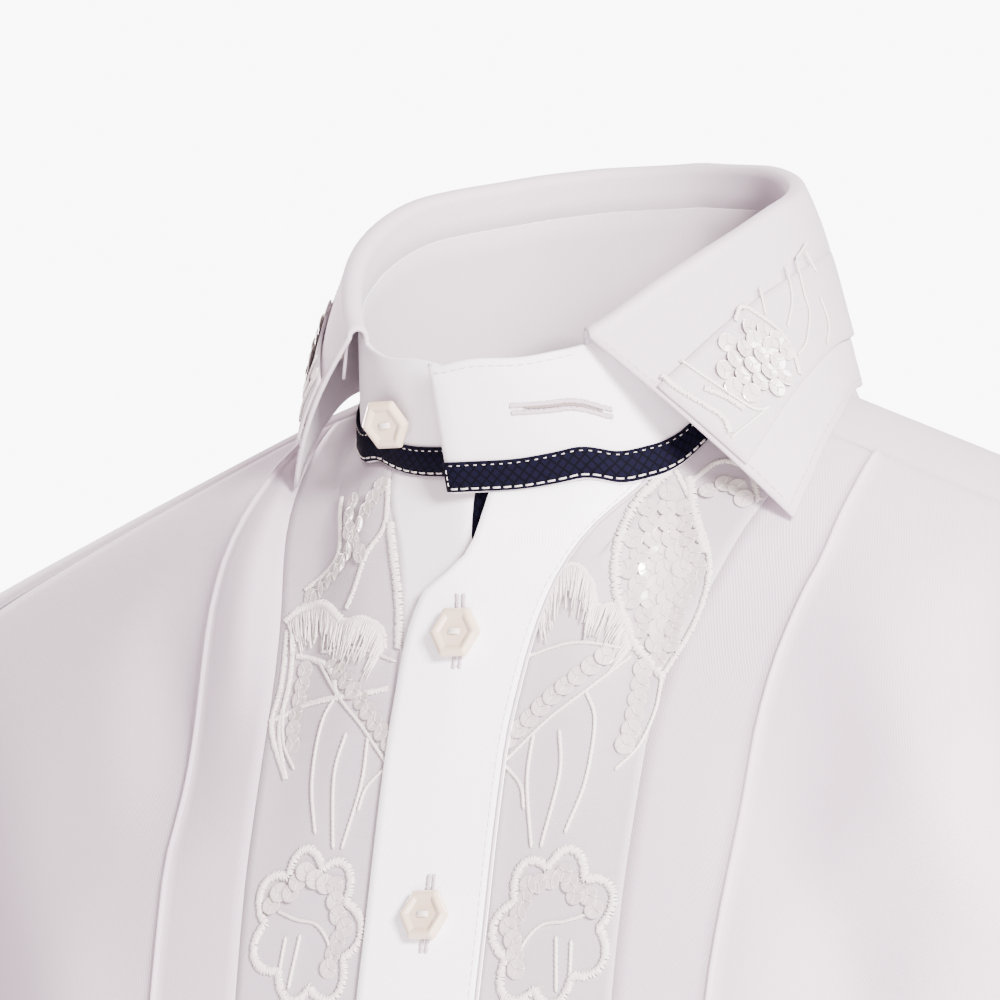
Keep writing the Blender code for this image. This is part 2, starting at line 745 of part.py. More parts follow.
def yoke_arm(share):
    """x and turn along the armhole over the shoulder, from the forward seam to the back seam."""
    turn_front = -math.acos(1 - FORWARD_SEAM_DROP / FRONT_REACH)
    turn_back = math.acos(1 - (TIP_Z - BACK_SEAM_END_Z) / BACK_REACH)
    turn = turn_front + (turn_back - turn_front) * share
    reach = np.where(turn < 0, FRONT_REACH, BACK_REACH)
    x = np.full(np.shape(share), SHOULDER_TIP_X)
    for _ in range(12):
        z = ridge(x, FRONT_NECK_RISE) - reach * (1 - np.cos(turn))
        x = armhole((TIP_Z - z) / (TIP_Z - UNDERARM_Z))[0]
    return x, turn


def back_seam(x):
    """Turn of the back yoke seam over x."""
    z = BACK_SEAM_Z - BACK_SEAM_FALL * np.abs(x)
    depth = ridge(x, BACK_NECK_RISE) - z
    return np.arccos(np.clip(1 - depth / BACK_REACH, -1.0, 1.0))


def yoke_grid():
    """One piece over both shoulders, from seam to seam, round the back of the neck."""
    corner_x, corner_turn = yoke_arm(np.array([1.0]))

    def neck(u):
        angle = np.radians(YOKE_NECK_ANGLE + (360 - 2 * YOKE_NECK_ANGLE) * u)
        x, turn, _ = neckline(angle)
        return np.stack([x, turn], axis=-1)

    def outer(u):
        half = np.where(u > 0.5, 1 - u, u)
        side = np.where(u > 0.5, -1.0, 1.0)
        arm_x, arm_turn = yoke_arm(np.clip(half / ARM_SHARE, 0, 1))
        share = np.clip((half - ARM_SHARE) / (0.5 - ARM_SHARE), 0, 1)
        seam_x = corner_x * (1 - share)
        seam_turn = back_seam(seam_x)
        blend = 1 - smooth_step(share, 0.0, 0.25)
        seam_turn = seam_turn + (corner_turn - back_seam(corner_x)) * blend
        on_arm = half <= ARM_SHARE
        x = np.where(on_arm, arm_x, seam_x) * side
        return np.stack([x, np.where(on_arm, arm_turn, seam_turn)], axis=-1)

    def forward(side):
        start = neck(np.array([0.0]))[0]
        end_x, end_turn = yoke_arm(np.array([0.0]))

        def edge(v):
            x = start[0] + (end_x - start[0]) * v
            turn = start[1] + (end_turn - start[1]) * smooth_step(v, 0.0, 0.1)
            return np.stack([x * side, turn], axis=-1)

        return edge

    arm = np.linspace(0, ARM_SHARE, YOKE_ARM_COLUMNS)
    middle = np.linspace(ARM_SHARE, 1 - ARM_SHARE, YOKE_BACK_COLUMNS + 1)[1:-1]
    us = np.concatenate([arm, middle, 1 - arm[::-1]])
    cells = coons(neck, outer, forward(1.0), forward(-1.0), us, np.linspace(0, 1, YOKE_ROWS))
    return settled(inset(shoulder_point(cells[..., 0], cells[..., 1]), SEAM_GAP / 2))


def back_grid():
    """Below the yoke seam, from side seam to side seam."""
    corner_angle, corner_z = armhole_angle(np.array([BACK_T]))

    def top(u):
        corner_x = armhole(BACK_T)[0]
        x = corner_x * (1 - 2 * u)
        z = BACK_SEAM_Z - BACK_SEAM_FALL * np.abs(x) - CURVED_SEAM_GAP
        share = 1 - np.abs(1 - 2 * u)
        z = z + (corner_z[0] - (BACK_SEAM_Z - BACK_SEAM_FALL * corner_x)) * (1 - smooth_step(share, 0.0, 0.25))
        return np.stack([math.pi - np.sign(x) * angle_of(x, z), z], axis=-1)

    def side(sign):
        def edge(v):
            t = np.interp(v, upper_stations(ARM_ROWS), BACK_ARM_STATIONS)
            angle, z = armhole_angle(t)
            below = v > UNDERARM_V
            z = np.where(below, height_between(v, TIP_Z, hem_height(math.pi / 2)), z)
            angle = np.where(below, math.pi / 2, angle)
            return np.stack([math.pi - sign * angle, z], axis=-1)

        return edge

    left = side(1.0)
    right = side(-1.0)
    vs = row_stations(ARM_ROWS)
    cells = coons(top, hem_edge(left, right), left, right, np.linspace(0, 1, YOKE_BACK_COLUMNS + 1), vs)
    return settled(inset(body_layer(cells[..., 0], cells[..., 1], np.zeros(cells.shape[:2])), SEAM_GAP / 2))


def armhole_ring(side):
    """Inside points and outward normals of an armhole, up its front, over the tip and down its back.

    The right armhole is turned over to the left side, so that one sleeve's steps serve for both.
    """
    sign = 1.0 if side == "left" else -1.0
    points = []
    normals = []

    def add_level(angle, z):
        points.append(body_point(angle, z))
        normals.append(body_layer(angle, z, np.ones(len(z))) - points[-1])

    angle, z = armhole_angle(FRONT_ARM_STATIONS[::-1])
    add_level(sign * angle, z)
    x, turn = yoke_arm(np.linspace(0, 1, YOKE_ARM_COLUMNS)[1:-1])
    points.append(shoulder_point(sign * x, turn))
    normals.append(shoulder_normal(sign * x, turn))
    angle, z = armhole_angle(BACK_ARM_STATIONS[:-1])
    add_level(sign * (math.pi - angle), z)
    flip = np.array([sign, 1.0, 1.0])
    return np.concatenate(points) * flip, np.concatenate(normals) * flip


def sleeve_ring(z, angles, folds):
    """A level ring of the left sleeve."""
    relief = np.zeros(angles.shape)
    for centre, height, lean, half_length, half_width, depth in folds:
        around = (np.degrees(angles) - centre + 180) % 360 - 180
        aside = around * math.radians(1) * sleeve_width_at(z)
        tilt = math.radians(lean)
        along = aside * math.cos(tilt) + (z - height) * math.sin(tilt)
        across = (z - height) * math.cos(tilt) - aside * math.sin(tilt)
        relief = relief + depth * np.exp(-((along / half_length) ** 2) - (across / half_width) ** 2)
    x = sleeve_x_at(z) + (sleeve_width_at(z) + relief) * np.sin(angles)
    y = sleeve_y_at(z) - (sleeve_depth_at(z) + relief) * np.cos(angles)
    return np.stack([x, y, np.full(angles.shape, z)], axis=-1)


def clear_of_body(ring, normal, leaving):
    """The ring moved along the sleeve until the sleeve's wall is a seam's gap clear of the body's wall."""
    ahead = unit(np.roll(ring, -1, axis=0) - np.roll(ring, 1, axis=0))
    past_edge = unit(np.cross(ahead, normal))
    along = unit(leaving - np.sum(leaving * ahead, axis=1, keepdims=True) * ahead)
    onward = np.sum(along * past_edge, axis=1)
    lifted = np.maximum(np.sum(along * normal, axis=1), 1e-3)
    beyond = (CURVED_SEAM_GAP + WALL * lifted) / np.maximum(onward, 1e-3)
    above = (3 * CURVED_SEAM_GAP + WALL * (1 - onward)) / lifted
    return ring + leaving * np.minimum(beyond, above)[:, None]


def sleeve_grid(side):
    """A sleeve: a head that leaves the armhole and bends down into level rings."""
    start, normal = armhole_ring(side)
    folds = LEFT_SLEEVE_FOLDS if side == "left" else RIGHT_SLEEVE_FOLDS
    count = len(start)
    angles = math.radians(-80) + np.linspace(0, 2 * math.pi, count, endpoint=False)
    first = SLEEVE_SECTIONS[0][0]
    goal = sleeve_ring(first, angles, folds)
    height = (start[:, 2:] - UNDERARM_Z) / (TIP_Z - UNDERARM_Z)
    leaving = unit(np.concatenate([0.75 + 0.2 * height, 0 * height, 0.28 * height - 0.66], axis=1))
    start = clear_of_body(start, normal, leaving)
    stretch = np.linalg.norm(goal - start, axis=1, keepdims=True)
    pull_out = start + leaving * stretch * 0.38
    pull_in = goal + np.array([-0.17, 0.0, 0.985]) * stretch * 0.42
    rows = []
    for t in SLEEVE_HEAD_STATIONS:
        row = (1 - t) ** 3 * start + 3 * (1 - t) ** 2 * t * pull_out
        rows.append(row + 3 * (1 - t) * t**2 * pull_in + t**3 * goal)
    for z in np.linspace(first, SLEEVE_END_Z, SLEEVE_ROWS):
        rows.append(sleeve_ring(z, angles, folds))
    grid = np.stack(rows)
    return settled(grid if side == "left" else mirrored(grid))


def cuff_point(angle, z, lift):
    """The left cuff: its lapped end lies over its start on the outer side."""
    x = sleeve_x_at(z) + (sleeve_width_at(z) + lift) * np.sin(angle)
    y = sleeve_y_at(z) - (sleeve_depth_at(z) + lift) * np.cos(angle)
    return np.stack(np.broadcast_arrays(x, y, z), axis=-1)


def cuff_grid():
    turn = np.linspace(0, 360 + CUFF_LAP, CUFF_COLUMNS)
    lift = (CUFF_WALL + 2 * LAYER_GAP) * smooth_step(turn, 330.0, 358.0)
    angle = np.radians(CUFF_LAP_FROM + turn)
    heights = np.linspace(SLEEVE_END_Z - SEAM_GAP, CUFF_END_Z, CUFF_ROWS)
    return cuff_point(angle[None, :], heights[:, None], lift[None, :])


def cuff_button_place():
    """Centre and outward direction of the left cuff's button."""
    middle = (SLEEVE_END_Z + CUFF_END_Z) / 2
    angle = math.radians(CUFF_LAP_FROM + CUFF_LAP * 0.4)
    over = 2 * CUFF_WALL + 2 * LAYER_GAP + BUTTON_LIFT
    centre = cuff_point(angle, middle, over)
    return centre, unit(centre - cuff_point(angle, middle, 0.0))


def button_profile(scale):
    """Half section of a button, down its outer side: dished face, rim, chamfers, flat back."""
    r = BUTTON_RADIUS * scale
    h = BUTTON_THICKNESS * scale
    return (
        (0.0, 0.72 * h),
        (0.55 * r, 0.76 * h),
        (0.72 * r, h),
        (0.84 * r, h),
        (r, 0.62 * h),
        (r, 0.3 * h),
        (0.86 * r, 0.0),
        (0.0, 0.0),
    )


def make_button(name, centre, outward, material, scale=1.0):
    """A button whose back lies at the centre and whose face looks outward."""
    profile = button_profile(scale)
    points = [(x * 0.001, 0.0, z * 0.001) for x, z in profile]
    edges = [(k, k + 1) for k in range(len(points) - 1)]
    mesh = bpy.data.meshes.new(name)
    mesh.from_pydata(points, edges, [])
    mesh.materials.append(material)
    button = bpy.data.objects.new(name, mesh)
    bpy.data.collections[COLLECTION_NAME].objects.link(button)
    screw = button.modifiers.new("turn", "SCREW")
    screw.steps = BUTTON_SIDES
    screw.render_steps = BUTTON_SIDES
    screw.use_merge_vertices = True
    screw.merge_threshold = 0.00001
    screw.use_smooth_shade = False
    z_axis = np.asarray(outward, float)
    x_axis = unit(np.cross([0.0, 0.0, 1.0], z_axis))
    y_axis = np.cross(z_axis, x_axis)
    place = np.eye(4)
    place[:3, 0] = x_axis
    place[:3, 1] = y_axis
    place[:3, 2] = z_axis
    place[:3, 3] = np.asarray(centre) * 0.001
    button.matrix_world = place.T
    return button


def lap_share(angle):
    """1 on the lapped left end of the collar, 0 past the side of the neck."""
    return 1 - smooth_step(angle, math.radians(LAP_FULL_ANGLE), math.radians(LAP_CLEAR_ANGLE))


def stand_foot(angle):
    """Middle of the stand's lower edge, just clear of the neckline's edge."""
    x, turn, inside = neckline(angle)
    normal = shoulder_normal(x, turn)
    outward = np.stack([np.sin(angle), -np.cos(angle), 0 * angle], axis=-1)
    outward = unit(outward * np.array([1.0, NECK_OVALNESS, 1.0]))
    level = np.sum(normal * outward, axis=-1, keepdims=True)
    steep = np.abs(normal[..., 2:])
    along = -steep * outward + level * np.array([0.0, 0.0, 1.0])
    away = STAND_FOOT_GAP + STAND_WALL / 2 * steep
    lift = WALL / 2 + LAP_LIFT * lap_share(angle)[..., None]
    return inside + normal * lift + along * away


def fold_top(angle):
    x = FOLD_HALF_WIDTH * np.sin(angle)
    y = FOLD_CENTRE_Y - FOLD_HALF_DEPTH * np.cos(angle)
    z = fold_height_at(table_angle(angle)) + COLLAR_TILT * x
    outward = np.stack([np.sin(angle), -np.cos(angle), 0 * angle], axis=-1)
    return np.stack([x, y, z], axis=-1) + outward * LAP_LIFT * lap_share(angle)[..., None]


def collar_height(angle):
    return np.linalg.norm(fold_top(angle) - stand_foot(angle), axis=-1)


def stand_point(angle, height, lift=0.0):
    """Middle of the stand's wall at a height above its lower edge, moved out by the lift."""
    swing = 0.01
    foot = stand_foot(angle)
    upward = unit(fold_top(angle) - foot)
    ahead = stand_foot(angle + swing) - stand_foot(angle - swing)
    normal = unit(np.cross(ahead, upward))
    return foot + upward * np.asarray(height)[..., None] + normal * np.asarray(lift)[..., None]


def stand_height(angle):
    return collar_height(angle) - roll_at(table_angle(angle))


def stand_angles():
    front = np.linspace(LEFT_END_ANGLE, 70, STAND_STEPS[0])
    round_back = np.linspace(70, 290, STAND_STEPS[1])[1:]
    closing = np.linspace(290, RIGHT_END_ANGLE, STAND_STEPS[2])[1:]
    return np.radians(np.concatenate([front, round_back, closing]))


def stand_grid():
    angles = stand_angles()
    heights = stand_height(angles)
    return settled([stand_point(angles, heights * share) for share in STAND_SHARES])


def ribbon_grid():
    angles = stand_angles()
    lift = np.full(angles.shape, STAND_WALL / 2 + RIBBON_GAP)
    rows = []
    for share in RIBBON_SHARES:
        height = np.full(angles.shape, RIBBON_FROM_EDGE + RIBBON_WIDTH * share)
        rows.append(stand_point(angles, height, lift))
    return settled(rows)


def fall_edge(angle):
    """Lower edge of the fall under a fold angle."""
    degrees = table_angle(angle)
    side = np.where(np.sin(angle) < 0, -1.0, 1.0)
    shift = POINT_SHIFT * (1 - smooth_step(degrees, FALL_START, 120.0))
    x = edge_x_at(degrees) * side + shift
    y = edge_y_at(degrees)
    z = height_over(x, y) + WALL + edge_clear_at(degrees)
    return np.stack([x, y, z], axis=-1)


def fall_frame(angle):
    """Fold centre, upward and outward directions of the fall at an angle."""
    swing = 0.01
    foot = stand_foot(angle)
    top = fold_top(angle)
    upward = unit(top - foot)
    ahead = unit(fold_top(angle + swing) - fold_top(angle - swing))
    outward = unit(np.cross(ahead, upward))
    centre = top - upward * FOLD_RADIUS + outward * FOLD_RADIUS
    return centre, upward, outward


def leaf_point(angle, share, lift=0.0):
    """Middle of the fall's outer leaf, from its fold at 0 to its edge at 1."""
    centre, upward, outward = fall_frame(angle)
    start = centre + outward * FOLD_RADIUS
    end = fall_edge(angle)
    share = np.asarray(share, float)[..., None]
    bulge = 4 * share * (1 - share) * FALL_BULGE
    ahead = fall_edge(angle + 0.01) - fall_edge(angle - 0.01)
    normal = unit(np.cross(ahead + start * 0, start - end))
    blend = unit(outward * (1 - share) + normal * (0.3 + share))
    return start + (end - start) * share + blend * (bulge + np.asarray(lift)[..., None])


def fall_angles():
    front = np.linspace(FALL_START, 80, FALL_STEPS[0])
    back = np.linspace(80, 280, FALL_STEPS[1])[1:]
    closing = np.linspace(280, 360 - FALL_START, FALL_STEPS[2])[1:]
    return np.radians(np.concatenate([front, back, closing]))


def fall_grid():
    """Inner roll above the stand, the fold, and the leaf that turns down outside."""
    angles = fall_angles()
    lower = stand_height(angles) + SEAM_GAP
    upper = collar_height(angles) - FOLD_RADIUS
    centre, upward, outward = fall_frame(angles)
    rows = []
    for share in (0.0, 0.5):
        rows.append(stand_point(angles, lower + (upper - lower) * share))
    for degrees in FOLD_SWING:
        swing = math.radians(degrees)
        rows.append(centre - outward * FOLD_RADIUS * math.cos(swing) + upward * FOLD_RADIUS * math.sin(swing))
    rows += [leaf_point(angles, np.full(angles.shape, share)) for share in LEAF_SHARES]
    return settled(rows)


def patch_grid(side):
    """Embroidered net on one end of the leaf, made from the leaf's own points."""
    angles = np.radians(np.linspace(FALL_START + 0.6, PATCH_END, PATCH_COLUMNS))
    angles = angles if side == "left" else 2 * math.pi - angles[::-1]
    lift = np.full(angles.shape, FALL_WALL / 2 + LAYER_GAP)
    shares = np.linspace(PATCH_TOP, PATCH_BOTTOM, PATCH_ROWS)
    return settled([leaf_point(angles, np.full(angles.shape, share), lift) for share in shares])


def tab_grid(side):
    """A short tab inside one end of the fold, with the seat and outward direction of its button."""
    swing = math.radians(1.0)
    around = math.radians(TAB_ANGLE if side == "left" else 360 - TAB_ANGLE) + np.array([-swing, 0.0, swing])
    centres, upwards, outwards = fall_frame(around)
    centre, upward, outward = centres[1], upwards[1], outwards[1]
    forward = unit(np.cross(outward, upward))
    along_fold = unit(centres[2] - centres[0])
    slant = np.dot(along_fold, upward) / np.dot(along_fold, forward)
    start = centre - upward * TAB_DROP
    down = unit(TAB_LEAN * outward - upward)
    rows = []
    for share in TAB_SHARES:
        half = TAB_HALF_WIDTH * (TAB_END_SHARE if share == 1.0 else 1.0)
        step = (forward + upward * slant * max(0.0, 1 - share / TAB_SHARES[1])) * half
        middle = start + down * TAB_LENGTH * share
        rows.append([middle + step, middle, middle - step])
    face = unit(outward + upward * TAB_LEAN)
    seat = start + down * TAB_LENGTH * TAB_BUTTON_SHARE + face * (TRIM_WALL / 2 + LAYER_GAP)
    return settled(rows), settled(seat), face


def make_neck_button(cream):
    angle = np.array([2 * math.pi + math.radians(NECK_BUTTON_ANGLE)])
    lift = STAND_WALL / 2 + 2 * BUTTON_LIFT
    centre = stand_point(angle, [NECK_BUTTON_HEIGHT], [lift])[0]
    base = stand_point(angle, [NECK_BUTTON_HEIGHT], [0.0])[0]
    make_button("button_neck", centre, unit(centre - base), cream)


def tree_of(piece):
    """A tree of the piece's finished faces, to lay other pieces on."""
    bpy.context.view_layer.update()
    graph = bpy.context.evaluated_depsgraph_get()
    return BVHTree.FromObject(piece, graph)


def face_in_front(tree, x, z):
    """Place and outward direction of the piece's face that is met from the front at x and z."""
    origin = Vector((x * 0.001, -0.5, z * 0.001))
    place, normal, _, _ = tree.ray_cast(origin, Vector((0.0, 1.0, 0.0)))
    outward = np.array(normal)
    return np.array(place) * 1000, outward * (-1.0 if outward[1] > 0 else 1.0)


def laid_on(tree, x, z, lift):
    """A line of points in front of the piece, lifted off its face."""
    points = []
    for across, height in zip(x, z):
        place, outward = face_in_front(tree, across, height)
        points.append(place + outward * lift)
    return np.array(points)


def make_front_buttons(placket, cream):
    tree = tree_of(placket)
    for number, z in enumerate(BUTTON_HEIGHTS, start=1):
        place, outward = face_in_front(tree, BUTTON_X, z)
        centre = place + outward * BUTTON_LIFT
        make_button(f"button_front_{number}", centre, outward, cream)


def flower_ring(tree, side, flower):
    """A scalloped ring on an insert, as an inner and then an outer line of points."""
    centre_x, centre_z, radius, lobes = flower
    swing = np.linspace(0, 2 * math.pi, BORDER_STATIONS, endpoint=False)
    scallop = radius * (1 - LOBE_DEPTH + 2 * LOBE_DEPTH * np.abs(np.sin(lobes * swing / 2)))
    lines = []
    for width in (-BORDER_WIDTH / 2, BORDER_WIDTH / 2):
        reach = scallop + width
        x = side * centre_x + reach * np.cos(swing)
        z = centre_z + FLOWER_STRETCH * reach * np.sin(swing)
        lines.append(laid_on(tree, x, z, FLOWER_GAP))
    return np.stack(lines)


def make_flowers(insert, side, thread):
    tree = tree_of(insert)
    for number, flower in enumerate(FLOWERS, start=1):
        grid = flower_ring(tree, 1.0 if side == "left" else -1.0, flower)
        cloth(f"flower_{side}_{number}", grid, BORDER_HEIGHT, thread, closed=True)


def make_fronts(materials):
    twill = materials["white_twill"]
    for side in ("left", "right"):
        grid, raised = front_grid(side)
        cloth("front_" + side, grid, WALL, twill, raised=raised)
        insert = cloth("insert_" + side, insert_grid(side), WALL, materials["sheer_net"])
        make_flowers(insert, side, materials["ivory_thread"])
    placket = cloth("placket_left", placket_left_grid(), WALL, twill)
    cloth("placket_right", placket_right_grid(right_tape_at, right_seam_at, 4), WALL, twill)
    cloth("placket_tape", placket_right_grid(right_edge_at, right_tape_at, 3), WALL, materials["navy"])
    make_front_buttons(placket, materials["cream_button"])


def make_body_and_sleeves(materials):
    twill = materials["white_twill"]
    cloth("yoke", yoke_grid(), WALL, twill)
    cloth("back", back_grid(), WALL, twill)
    cuff = cuff_grid()
    centre, outward = cuff_button_place()
    for side, flip in (("left", 1.0), ("right", -1.0)):
        turned = np.array([flip, 1.0, 1.0])
        cloth("sleeve_" + side, sleeve_grid(side), WALL, twill, closed=True)
        cloth("cuff_" + side, cuff if side == "left" else mirrored(cuff), CUFF_WALL, twill)
        make_button(
            "cuff_button_" + side, centre * turned, outward * turned, materials["cream_button"], SMALL_BUTTON_SCALE
        )


def make_collar(materials):
    twill = materials["white_twill"]
    cream = materials["cream_button"]
    cloth("collar_stand", stand_grid(), STAND_WALL, twill, offset=0.0)
    cloth("stand_ribbon", ribbon_grid(), TRIM_WALL, materials["navy"])
    cloth("collar_fall", fall_grid(), FALL_WALL, twill, offset=0.0)
    for side in ("left", "right"):
        cloth("collar_patch_" + side, patch_grid(side), TRIM_WALL, materials["sheer_net"])
        grid, seat, face = tab_grid(side)
        cloth("collar_tab_" + side, grid, TRIM_WALL, twill, offset=0.0)
        make_button("tab_button_" + side, seat, face, cream, TAB_BUTTON_SCALE)
    make_neck_button(cream)


def main():
    clear_scene()
    group = bpy.data.collections.new(COLLECTION_NAME)
    bpy.context.scene.collection.children.link(group)
    materials = {name: make_material(name) for name in COLOURS}
    make_fronts(materials)
    make_body_and_sleeves(materials)
    make_collar(materials)


main()
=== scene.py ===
"""Looks of the white embroidered dress shirt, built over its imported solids.

Sizes are in millimetres and are turned into metres where each mesh is made.
Front is -Y, and the wearer's left is +X.
"""

import math

import bpy
import numpy as np
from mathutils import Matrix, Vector

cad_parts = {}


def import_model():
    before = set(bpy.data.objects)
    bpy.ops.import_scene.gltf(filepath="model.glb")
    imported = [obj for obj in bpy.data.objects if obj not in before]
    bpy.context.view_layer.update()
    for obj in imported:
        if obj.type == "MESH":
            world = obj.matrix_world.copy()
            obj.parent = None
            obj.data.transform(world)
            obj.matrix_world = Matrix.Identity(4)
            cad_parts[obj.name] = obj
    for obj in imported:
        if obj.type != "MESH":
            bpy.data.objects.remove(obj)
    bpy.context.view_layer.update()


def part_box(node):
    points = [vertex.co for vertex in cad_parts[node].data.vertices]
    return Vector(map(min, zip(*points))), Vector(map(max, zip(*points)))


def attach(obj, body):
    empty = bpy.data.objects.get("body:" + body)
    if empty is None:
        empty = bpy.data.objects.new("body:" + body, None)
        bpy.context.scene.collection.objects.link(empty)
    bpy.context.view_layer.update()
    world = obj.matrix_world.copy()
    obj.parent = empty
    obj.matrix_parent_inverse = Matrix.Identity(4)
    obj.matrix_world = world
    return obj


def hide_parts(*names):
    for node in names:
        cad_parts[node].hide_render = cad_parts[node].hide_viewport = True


# One millimetre, in metres
MM = 0.001

# Cloth walls and seams
WALL = 1.2
STAND_WALL = 1.6
FALL_WALL = 1.4
CUFF_WALL = 1.8
TRIM_WALL = 1.0
SEAM_GAP = 0.04
CURVED_SEAM_GAP = 0.08
LAYER_GAP = 0.3
PLACKET_GAP = 0.5
PLACKET_OVERLAP = 1.0
STAND_FOOT_GAP = 0.5
TUCK_HEIGHT = 1.1
TUCK_HALF_WIDTH = 1.3

# Shoulders: the ridge is a straight line on each side of the neck, raised where the neckline cuts it off
RIDGE_AT_CENTRE = 24.0
SHOULDER_SLOPE = 0.40
FRONT_REACH = 180.0
BACK_REACH = 160.0
FRONT_NECK_RISE = (19.0, 34.0, 62.0)
BACK_NECK_RISE = (28.0, 46.0, 66.0)
CORNER_FULLNESS = 0.08

# The wearer's right shoulder sits higher: how much, and between which x and which heights that fades in
RIGHT_LIFT = 5.5
RIGHT_LIFT_X = (25.0, 100.0)
RIGHT_LIFT_Z = (-420.0, -60.0)

# How much further up the neckline runs on the wearer's right, in degrees over the shoulder
RIGHT_NECKLINE_LIFT = (
    (0.0, 2.5),
    (20.0, 3.0),
    (40.0, 4.5),
    (60.0, 5.5),
    (70.0, 3.0),
    (80.0, 0.0),
    (180.0, 0.0),
)

# Sections of the body: height, half width, depth in front, depth behind
BODY_SECTIONS = (
    (60.0, 250.0, 95.0, 110.0),
    (-40.0, 248.0, 95.0, 112.0),
    (-80.0, 240.0, 88.5, 114.0),
    (-120.0, 228.0, 94.0, 117.0),
    (-161.0, 215.0, 102.0, 119.0),
    (-200.0, 206.0, 110.0, 118.0),
    (-245.0, 200.0, 116.0, 116.0),
    (-330.0, 196.0, 115.0, 107.0),
    (-430.0, 191.0, 108.0, 98.0),
    (-560.0, 200.0, 111.0, 108.0),
    (-740.0, 208.0, 116.0, 116.0),
)

# Neckline, seen from above, and the collar's fold line above it
NECK_HALF_WIDTH = 66.0
NECK_OVALNESS = 0.88
FOLD_HALF_WIDTH = 60.0
FOLD_HALF_DEPTH = 75.0
FOLD_CENTRE_Y = -20.0
COLLAR_TILT = -0.05
FOLD_RADIUS = 2.6
FALL_START = 38.0

# Neckline by the angle round the neck from the centre front: degrees before or behind the shoulder ridge
NECKLINE_TURNS = (
    (0.0, -57.7),
    (20.0, -54.0),
    (40.0, -48.6),
    (50.0, -42.8),
    (60.0, -36.0),
    (77.0, -19.5),
    (90.0, -5.0),
    (105.0, 8.0),
    (120.0, 19.0),
    (140.0, 31.0),
    (160.0, 35.0),
    (180.0, 38.7),
)

# Collar by the angle round the neck from the centre front: height of the fold line, depth of the roll
COLLAR_HEIGHTS = (
    (0.0, 0.4, 4.0),
    (10.0, 2.6, 4.0),
    (20.0, 3.2, 4.0),
    (30.0, 5.6, 4.0),
    (38.0, 9.0, 4.5),
    (50.0, 19.0, 7.0),
    (57.0, 25.0, 9.0),
    (75.0, 38.0, 13.0),
    (97.0, 51.0, 13.0),
    (110.0, 56.0, 13.0),
    (125.0, 61.0, 13.0),
    (140.0, 66.0, 13.0),
    (155.0, 69.5, 13.0),
    (180.0, 71.5, 13.0),
)

# Lower edge of the fall by the angle of the fold above it: x, y, and height above the shirt
FALL_EDGE = (
    (38.0, 85.0, -57.0, 6.0),
    (48.0, 86.5, -47.0, 5.0),
    (62.0, 86.5, -30.0, 4.0),
    (90.0, 82.0, 2.0, 4.0),
    (120.0, 62.0, 38.0, 6.0),
    (150.0, 36.0, 68.0, 7.0),
    (180.0, 0.0, 84.0, 8.0),
)
POINT_SHIFT = 9.5
POINT_SHIFT_END = 120.0
FALL_BULGE = 3.0

# The open front: how far the lapped left end stands off, and where the stand's two ends lie
LAP_LIFT = 4.35
LAP_CLEAR_ANGLE = 75.0
LAP_FULL_ANGLE = 25.0
LAP_X = (22.0, 66.0)
LAP_Z = (-118.0, -42.0)
LEFT_END_ANGLE = -3.0
RIGHT_END_ANGLE = 366.0

# Lines of the left front by height: placket edge, placket seam, insert edge, tuck
LEFT_LINES = (
    (-20.0, 9.0, 54.0, 90.0, 107.0),
    (-37.0, 8.4, 49.0, 86.0, 107.0),
    (-52.0, 5.2, 38.0, 79.5, 105.5),
    (-61.0, -1.6, 32.5, 76.0, 104.0),
    (-67.0, -11.5, 29.0, 73.5, 102.0),
    (-81.0, -17.6, 24.0, 67.5, 98.0),
    (-94.0, -19.2, 21.5, 64.0, 95.5),
    (-115.0, -20.0, 19.5, 62.0, 94.0),
    (-150.0, -20.0, 19.3, 62.0, 93.0),
    (-200.0, -20.0, 19.3, 62.5, 91.5),
    (-740.0, -20.0, 19.3, 62.5, 91.0),
)

# Lines of the right front by height, measured towards the right: edge, tape, placket seam, insert edge, tuck
RIGHT_LINES = (
    (-20.0, -9.5, 0.5, 33.0, 78.0, 86.5),
    (-37.0, -10.5, -1.4, 31.0, 77.0, 87.5),
    (-52.0, -12.0, -2.2, 25.0, 75.5, 92.0),
    (-62.0, -14.0, -4.4, 23.2, 74.0, 96.0),
    (-80.0, -17.0, -8.0, 21.8, 71.5, 99.5),
    (-110.0, -19.0, -9.5, 20.5, 68.0, 99.5),
    (-150.0, -19.2, -10.0, 20.0, 66.0, 97.0),
    (-200.0, -19.2, -10.0, 20.0, 63.5, 94.5),
    (-740.0, -19.2, -10.0, 20.0, 62.5, 92.0),
)

# Seams of the shoulders, armholes and hem
FORWARD_SEAM_DROP = 9.5
YOKE_NECK_ANGLE = 77.0
YOKE_NECK_X = NECK_HALF_WIDTH * math.sin(math.radians(YOKE_NECK_ANGLE))
SHOULDER_TIP_X = 224.0
UNDERARM_Z = -245.0
ARMHOLE_HOLLOW = 28.0
BACK_SEAM_Z = -85.0
BACK_SEAM_FALL = 0.13
HEM_Z = -735.0
HEM_RISE = 60.0
CORNER_BLEND = 0.25
NECK_BLEND = 0.1

# Sleeve sections: height, centre x, centre y, half width, half depth
SLEEVE_SECTIONS = (
    (-310.0, 273.0, 2.0, 60.0, 67.0),
    (-380.0, 285.0, 1.0, 56.0, 62.0),
    (-450.0, 297.0, -4.0, 51.0, 57.0),
    (-520.0, 309.0, -13.0, 46.0, 52.0),
    (-580.0, 318.0, -24.0, 43.0, 47.0),
    (-620.0, 323.0, -32.0, 38.0, 41.0),
    (-632.0, 324.5, -34.5, 35.0, 37.0),
    (-700.0, 331.0, -50.0, 36.0, 38.0),
)
SLEEVE_END_Z = -632.0
CUFF_END_Z = -698.0

